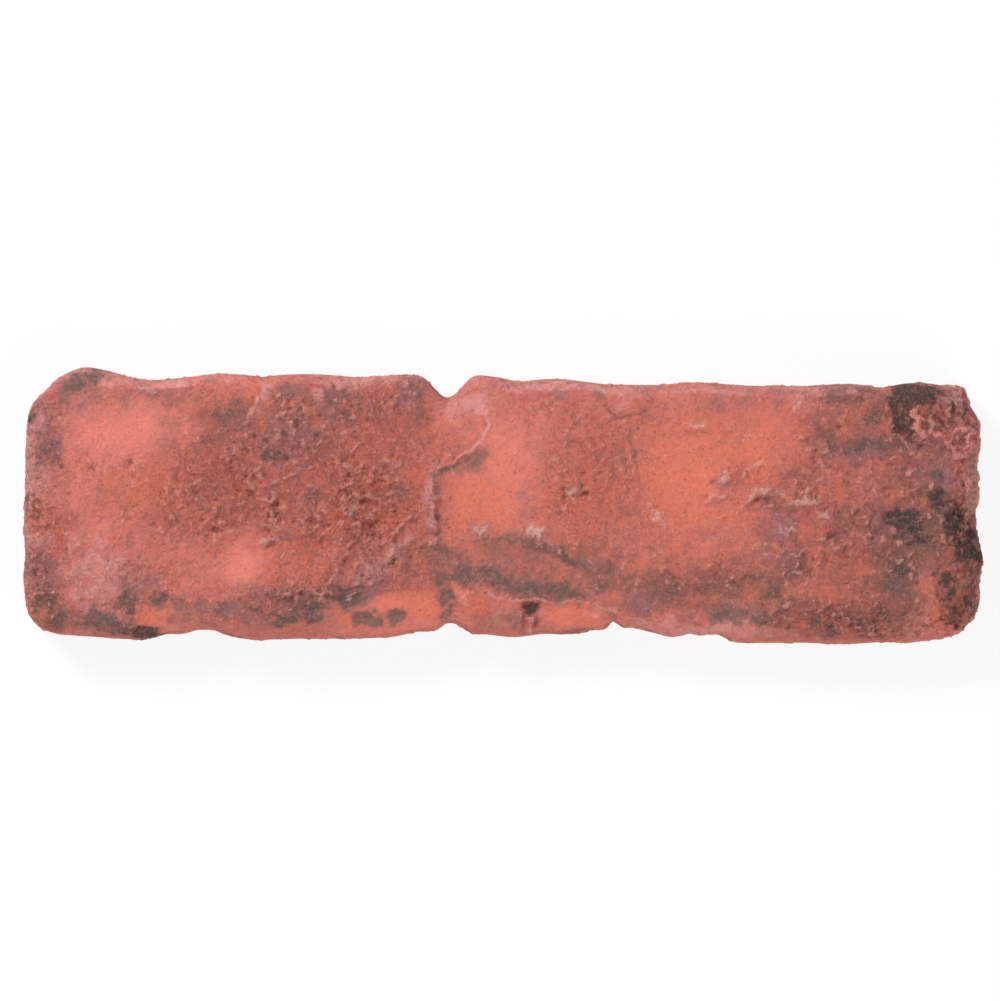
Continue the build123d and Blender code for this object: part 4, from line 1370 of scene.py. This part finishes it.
    def _noise_fields(self, places: np.ndarray) -> dict[str, np.ndarray]:
        """Works out the noise that the carving and the painting share.

        Each place is divided by the size of the field's grain in millimetres, and a shift keeps
        fields of like size apart.

        Args:
            places: The mesh's points, in metres.

        Returns:
            Fields by name, each roughly between minus one and one: bends and sways for outlines,
            and the kinds of skin.
        """
        scaled = [Vector(p) / MM for p in places]
        fields = {
            "bend_x": [noise.noise(p / 2.7) + 0.5 * noise.noise(p / 1.1) for p in scaled],
            "bend_y": [
                noise.noise(p / 2.7 + Vector((31, 7, 3))) + 0.5 * noise.noise(p / 1.1) for p in scaled
            ],
            "broad": [noise.noise(p / 8.0 + Vector((5, 9, 2))) for p in scaled],
            "skin": [noise.fractal(p / 2.4, 0.6, 2.1, 4) for p in scaled],
            "grit": [noise.noise(p / 0.9 + Vector((3, 1, 8))) for p in scaled],
            "crumbs": [
                self._dome(p / 2.0) + 0.5 * self._dome(p / 1.2 + Vector((4, 4, 4))) for p in scaled
            ],
            "lumps": [noise.fractal(p / 4.2 + Vector((8, 8, 1)), 0.7, 2.0, 4) for p in scaled],
            "flakes": [
                noise.noise(p / 3.6 + Vector((21, 2, 6))) + 0.5 * noise.noise(p / 1.3) for p in scaled
            ],
            "dragged": [self._drag(p) for p in scaled],
            "patches": [noise.noise(p / 6.0 + Vector((9, 80, 1))) for p in scaled],
            "sway_x": [noise.noise(p / 10.0 + Vector((50, 0, 4))) for p in scaled],
            "sway_y": [noise.noise(p / 10.0 + Vector((0, 60, 4))) for p in scaled],
        }
        return {name: np.array(values) for name, values in fields.items()}

    def _dome(self, place: Vector) -> float:
        """A field of rounded crumbs with creases between them, about nought on average."""
        nearest = noise.voronoi(place)[0][0]
        return 0.45 - 1.6 * nearest * nearest

    def _drag(self, place: Vector) -> float:
        """Works out a field of short ridges at the slant that the clay was dragged in.

        Args:
            place: The place, in millimetres.

        Returns:
            The field's value there, about nought on average.
        """
        turn = math.radians(self.relief.drag_turn)
        along = place.x * math.cos(turn) + place.y * math.sin(turn)
        across = place.y * math.cos(turn) - place.x * math.sin(turn)
        return noise.noise(Vector((along / 6.5, across / 2.1, place.z / 4.0)))

    def _face_height(self, xs: np.ndarray, ys: np.ndarray, drift: dict[str, np.ndarray]) -> np.ndarray:
        """Works out the relief of the face.

        Args:
            xs: The places along the tile, in millimetres.
            ys: The places across it.
            drift: The shared noise.

        Returns:
            The relief at each place, in millimetres.
        """
        relief = self.relief
        bent_x, bent_y = xs + relief.bent_mm * drift["bend_x"], ys + relief.bent_mm * drift["bend_y"]
        rough = relief.roughness(xs, ys) * np.clip(0.8 + 1.1 * drift["patches"], 0.25, 1.7)
        height = relief.broad_mm * drift["broad"]
        flaked = self._flaked(drift)
        proud = np.clip(drift["crumbs"] - 0.1, 0.0, None)
        dragged = relief.drag_mm * drift["dragged"]
        height += rough * (relief.skin_mm * drift["skin"] + relief.crumb_mm * proud + dragged)
        height += rough * (relief.flake_mm * flaked + relief.lump_mm * drift["lumps"])
        height += (0.25 + rough) * relief.grit_mm * drift["grit"]
        for crest in relief.crests:
            height += crest.height(bent_x, bent_y) * (0.7 + 0.4 * flaked + 0.5 * drift["skin"])
        for lump in relief.lumps:
            height += lump.height(bent_x, bent_y)
        order = np.argsort(xs)
        sorted_x = xs[order]
        for crumb in relief.crumbs():
            reach = 2.5 * crumb.reach  # beyond this, nothing of it is left
            first, last = np.searchsorted(sorted_x, (crumb.x - reach, crumb.x + reach))
            near = order[first:last]
            height[near] += crumb.height(bent_x[near], bent_y[near])
        return height

    def _wall_height(self, xs: np.ndarray, drift: dict[str, np.ndarray]) -> np.ndarray:
        """Works out the relief of the walls, which crumble at the right end and a little at the left.

        Args:
            xs: The places along the tile, in millimetres.
            drift: The shared noise.

        Returns:
            The relief at each place, in millimetres.
        """
        flaked = self._flaked(drift)
        fine = 0.26 * drift["skin"] + 0.1 * drift["grit"] + 0.12 * drift["crumbs"]
        crumbled = smooth_step((xs - self.crumbled_right_mm) / self.right_run_mm)
        crumbled += self.left_share * smooth_step((self.crumbled_left_mm - xs) / self.left_run_mm)
        torn = 0.5 * drift["lumps"] + 0.5 * drift["patches"] + 0.3 * (flaked - 1.0)
        return 0.25 * drift["broad"] + fine + 0.3 * (flaked - 0.5) + crumbled * torn

    def _flaked(self, drift: dict[str, np.ndarray]) -> np.ndarray:
        """One where the skin still holds, and nought where it has flaked off."""
        return smooth_step(drift["flakes"] * 4.0 + 0.4)

    def _softened(self, values: np.ndarray, edges: np.ndarray, rounds: int) -> np.ndarray:
        """Spreads values over the mesh's neighbours.

        Args:
            values: One value for each point.
            edges: The two points of each edge.
            rounds: How many times they are spread.

        Returns:
            The softened values.
        """
        links = np.bincount(edges.ravel(), minlength=len(values)).astype(float)
        soft = values.copy()
        for _ in range(rounds):
            total = np.bincount(edges[:, 0], weights=soft[edges[:, 1]], minlength=len(values))
            total += np.bincount(edges[:, 1], weights=soft[edges[:, 0]], minlength=len(values))
            soft = 0.5 * soft + 0.5 * total / links
        return soft

    def _paint(
        self,
        mesh: bpy.types.Mesh,
        xs: np.ndarray,
        ys: np.ndarray,
        drift: dict[str, np.ndarray],
        normals: np.ndarray,
    ) -> None:
        """Lays the pigments on the mesh, and the mauve dust, salmon wash and pink powder on the arris, where
        the pink grows towards the upper edge as a painted highlight.

        Args:
            mesh: The carved casting.
            xs: The places along the tile, in millimetres.
            ys: The places across it.
            drift: The shared noise.
            normals: The normals from before the carving.
        """
        ragged, swayed, bent = self.pigments.ragged_mm, self.pigments.swayed_mm, self.relief.bent_mm
        bend_x, bend_y = drift["bend_x"], drift["bend_y"]
        broken = (
            xs + ragged * bend_x + swayed * drift["sway_x"],
            ys + ragged * bend_y + swayed * drift["sway_y"],
        )
        cover = self.pigments.laid(broken, (xs + bent * bend_x, ys + bent * bend_y))
        arris = smooth_step((0.97 - normals[:, 2]) * 4.0)  # one where the face has turned over
        upper = smooth_step(ys / 40.0 + 0.5)  # nought at the lower edge and one at the upper
        # The pink on the arris grows towards the upper edge as a painted highlight, over a random share of
        # real pink powder.
        shares = {
            Pigment.BLOOM: 0.35 * upper + 0.5 * drift["sway_x"],
            Pigment.MAUVE: 0.3 * upper + 0.5 * drift["sway_y"],
            Pigment.SALMON: 0.6,
        }
        for pigment, share in shares.items():
            cover[pigment] = np.maximum(cover[pigment], arris * share)
        for pigment, amount in cover.items():
            self._keep(mesh, pigment.value, amount)

    def _keep(self, mesh: bpy.types.Mesh, name: str, values: np.ndarray) -> None:
        """Stores one value for each point under a name."""
        mesh.attributes.new(name, "FLOAT", "POINT").data.foreach_set("value", values.astype(np.float32))

    def dress(self, casting: bpy.types.Object) -> None:
        """Gives the casting its two finishes and its place in the frame.

        Args:
            casting: The carved casting.
        """
        casting.data.materials.append(self.face_finish.material())
        casting.data.materials.append(self.bed_finish.material())
        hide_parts(self.node)
        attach(casting, "root")
        triangles = sum(len(polygon.vertices) - 2 for polygon in casting.data.polygons)
        log.info("%s: %d triangles, replaces %s", casting.name, triangles, self.node)


@dataclass
class Studio:
    """A pale table seen from straight above, lit softly from the upper left."""

    millimetres_per_pixel: float = 0.25
    frame_pixels: tuple[int, int] = (1000, 1001)
    origin_pixel: tuple[float, float] = (502.0, 509.0)  # where the middle of the bed lies in it
    camera_height: float = 3.0
    sensor_mm: float = 36.0
    view_reach: float = 20.0
    key_power: float = 33.5
    fill_power: float = 21.0
    sky_strength: float = 0.33
    paper: str = "#F4F4F4"
    paper_glow: float = 0.86  # how far the table shows white to the camera by itself
    table_reach: float = 3.0
    table_gap: float = 0.0004  # so that the table and the bed don't lie in one plane

    def build(self) -> None:
        """Builds the table, the lamps, the sky and the camera."""
        self._table()
        self._lamp("key_softbox", Vector((-1.0, 1.05, 1.15)), 0.55, self.key_power)
        self._lamp("fill_softbox", Vector((0.9, -1.3, 1.2)), 1.2, self.fill_power)
        self._sky()
        self._camera()
        bpy.context.scene.view_settings.view_transform = "Standard"
        log.info("studio: table, two lamps, sky and camera")

    def _seen(self, tree: bpy.types.NodeTree) -> Socket:
        """Tells which rays look at the surround itself, in a mirror or through glass.

        Args:
            tree: The node tree.

        Returns:
            One for such a ray, and nought for the rest.
        """
        rays = add_node(tree, "ShaderNodeLightPath").outputs
        seen = rays["Is Camera Ray"]
        for name in ("Is Glossy Ray", "Is Transmission Ray"):
            links = {0: seen, 1: rays[name]}
            seen = add_node(tree, "ShaderNodeMath", {"operation": "MAXIMUM"}, None, links).outputs["Value"]
        return seen

    def _table(self) -> None:
        """A wide pale sheet that shows white and keeps a faint shadow."""
        bm = bmesh.new()
        bmesh.ops.create_grid(bm, x_segments=1, y_segments=1, size=self.table_reach)
        mesh = bpy.data.meshes.new("table")
        bm.to_mesh(mesh)
        bm.free()
        table = bpy.data.objects.new("table", mesh)
        table.location.z = -self.table_gap
        bpy.context.scene.collection.objects.link(table)
        material = bpy.data.materials.new("white_paper_table")
        material.use_nodes = True
        tree = material.node_tree
        tree.nodes.clear()
        seen = self._seen(tree)
        paper = add_node(tree, "ShaderNodeBsdfDiffuse", values={"Color": linear(self.paper)})
        glow = add_node(tree, "ShaderNodeEmission", values={"Color": linear("#FFFFFF"), "Strength": 1.0})
        share = add_node(tree, "ShaderNodeMath", {"operation": "MULTIPLY"}, {1: self.paper_glow}, {0: seen})
        mixed = add_node(
            tree,
            "ShaderNodeMixShader",
            links={0: share.outputs["Value"], 1: paper.outputs["BSDF"], 2: glow.outputs["Emission"]},
        )
        add_node(tree, "ShaderNodeOutputMaterial", links={"Surface": mixed.outputs["Shader"]})
        mesh.materials.append(material)

    def _lamp(self, name: str, place: Vector, size: float, power: float) -> None:
        """Hangs a square softbox that faces the tile.

        Args:
            name: The lamp's name.
            place: Where it hangs, in metres.
            size: The length of its side, in metres.
            power: Its power in watts.
        """
        light = bpy.data.lights.new(name, "AREA")
        light.shape = "SQUARE"
        light.size = size
        light.energy = power
        lamp = bpy.data.objects.new(name, light)
        lamp.location = place
        lamp.rotation_euler = place.to_track_quat("Z", "Y").to_euler()
        bpy.context.scene.collection.objects.link(lamp)

    def _sky(self) -> None:
        """An even white surround, which shows white to the camera."""
        world = bpy.data.worlds.new("studio_surround")
        world.use_nodes = True
        tree = world.node_tree
        tree.nodes.clear()
        seen = self._seen(tree)
        strength = add_node(
            tree,
            "ShaderNodeMapRange",
            values={"To Min": self.sky_strength, "To Max": 1.0},
            links={"Value": seen},
        )
        sky = add_node(
            tree,
            "ShaderNodeBackground",
            values={"Color": linear("#FFFFFF")},
            links={"Strength": strength.outputs["Result"]},
        )
        add_node(tree, "ShaderNodeOutputWorld", links={"Surface": sky.outputs["Background"]})
        bpy.context.scene.world = world

    def _camera(self) -> None:
        """A long lens straight above, square on to the face as the photograph is."""
        lens = bpy.data.cameras.new("overhead_camera")
        lens.sensor_width = self.sensor_mm
        width_mm = self.frame_pixels[0] * self.millimetres_per_pixel
        lens.lens = self.sensor_mm * self.camera_height / (width_mm * MM)
        lens.clip_end = self.view_reach
        camera = bpy.data.objects.new("overhead_camera", lens)
        off_x = (self.frame_pixels[0] / 2 - self.origin_pixel[0]) * self.millimetres_per_pixel
        off_y = (self.origin_pixel[1] - self.frame_pixels[1] / 2) * self.millimetres_per_pixel
        camera.location = Vector((off_x * MM, off_y * MM, self.camera_height))
        bpy.context.scene.collection.objects.link(camera)
        bpy.context.scene.camera = camera


def main() -> None:
    """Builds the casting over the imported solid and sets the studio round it."""
    logging.basicConfig(level=logging.INFO, format="%(name)s: %(message)s")
    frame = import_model()
    tile = VeneerCasting()
    casting = tile.build(frame["nodes"][TILE_NODE])
    tile.dress(casting)
    Studio().build()


if __name__ == "__main__":
    main()
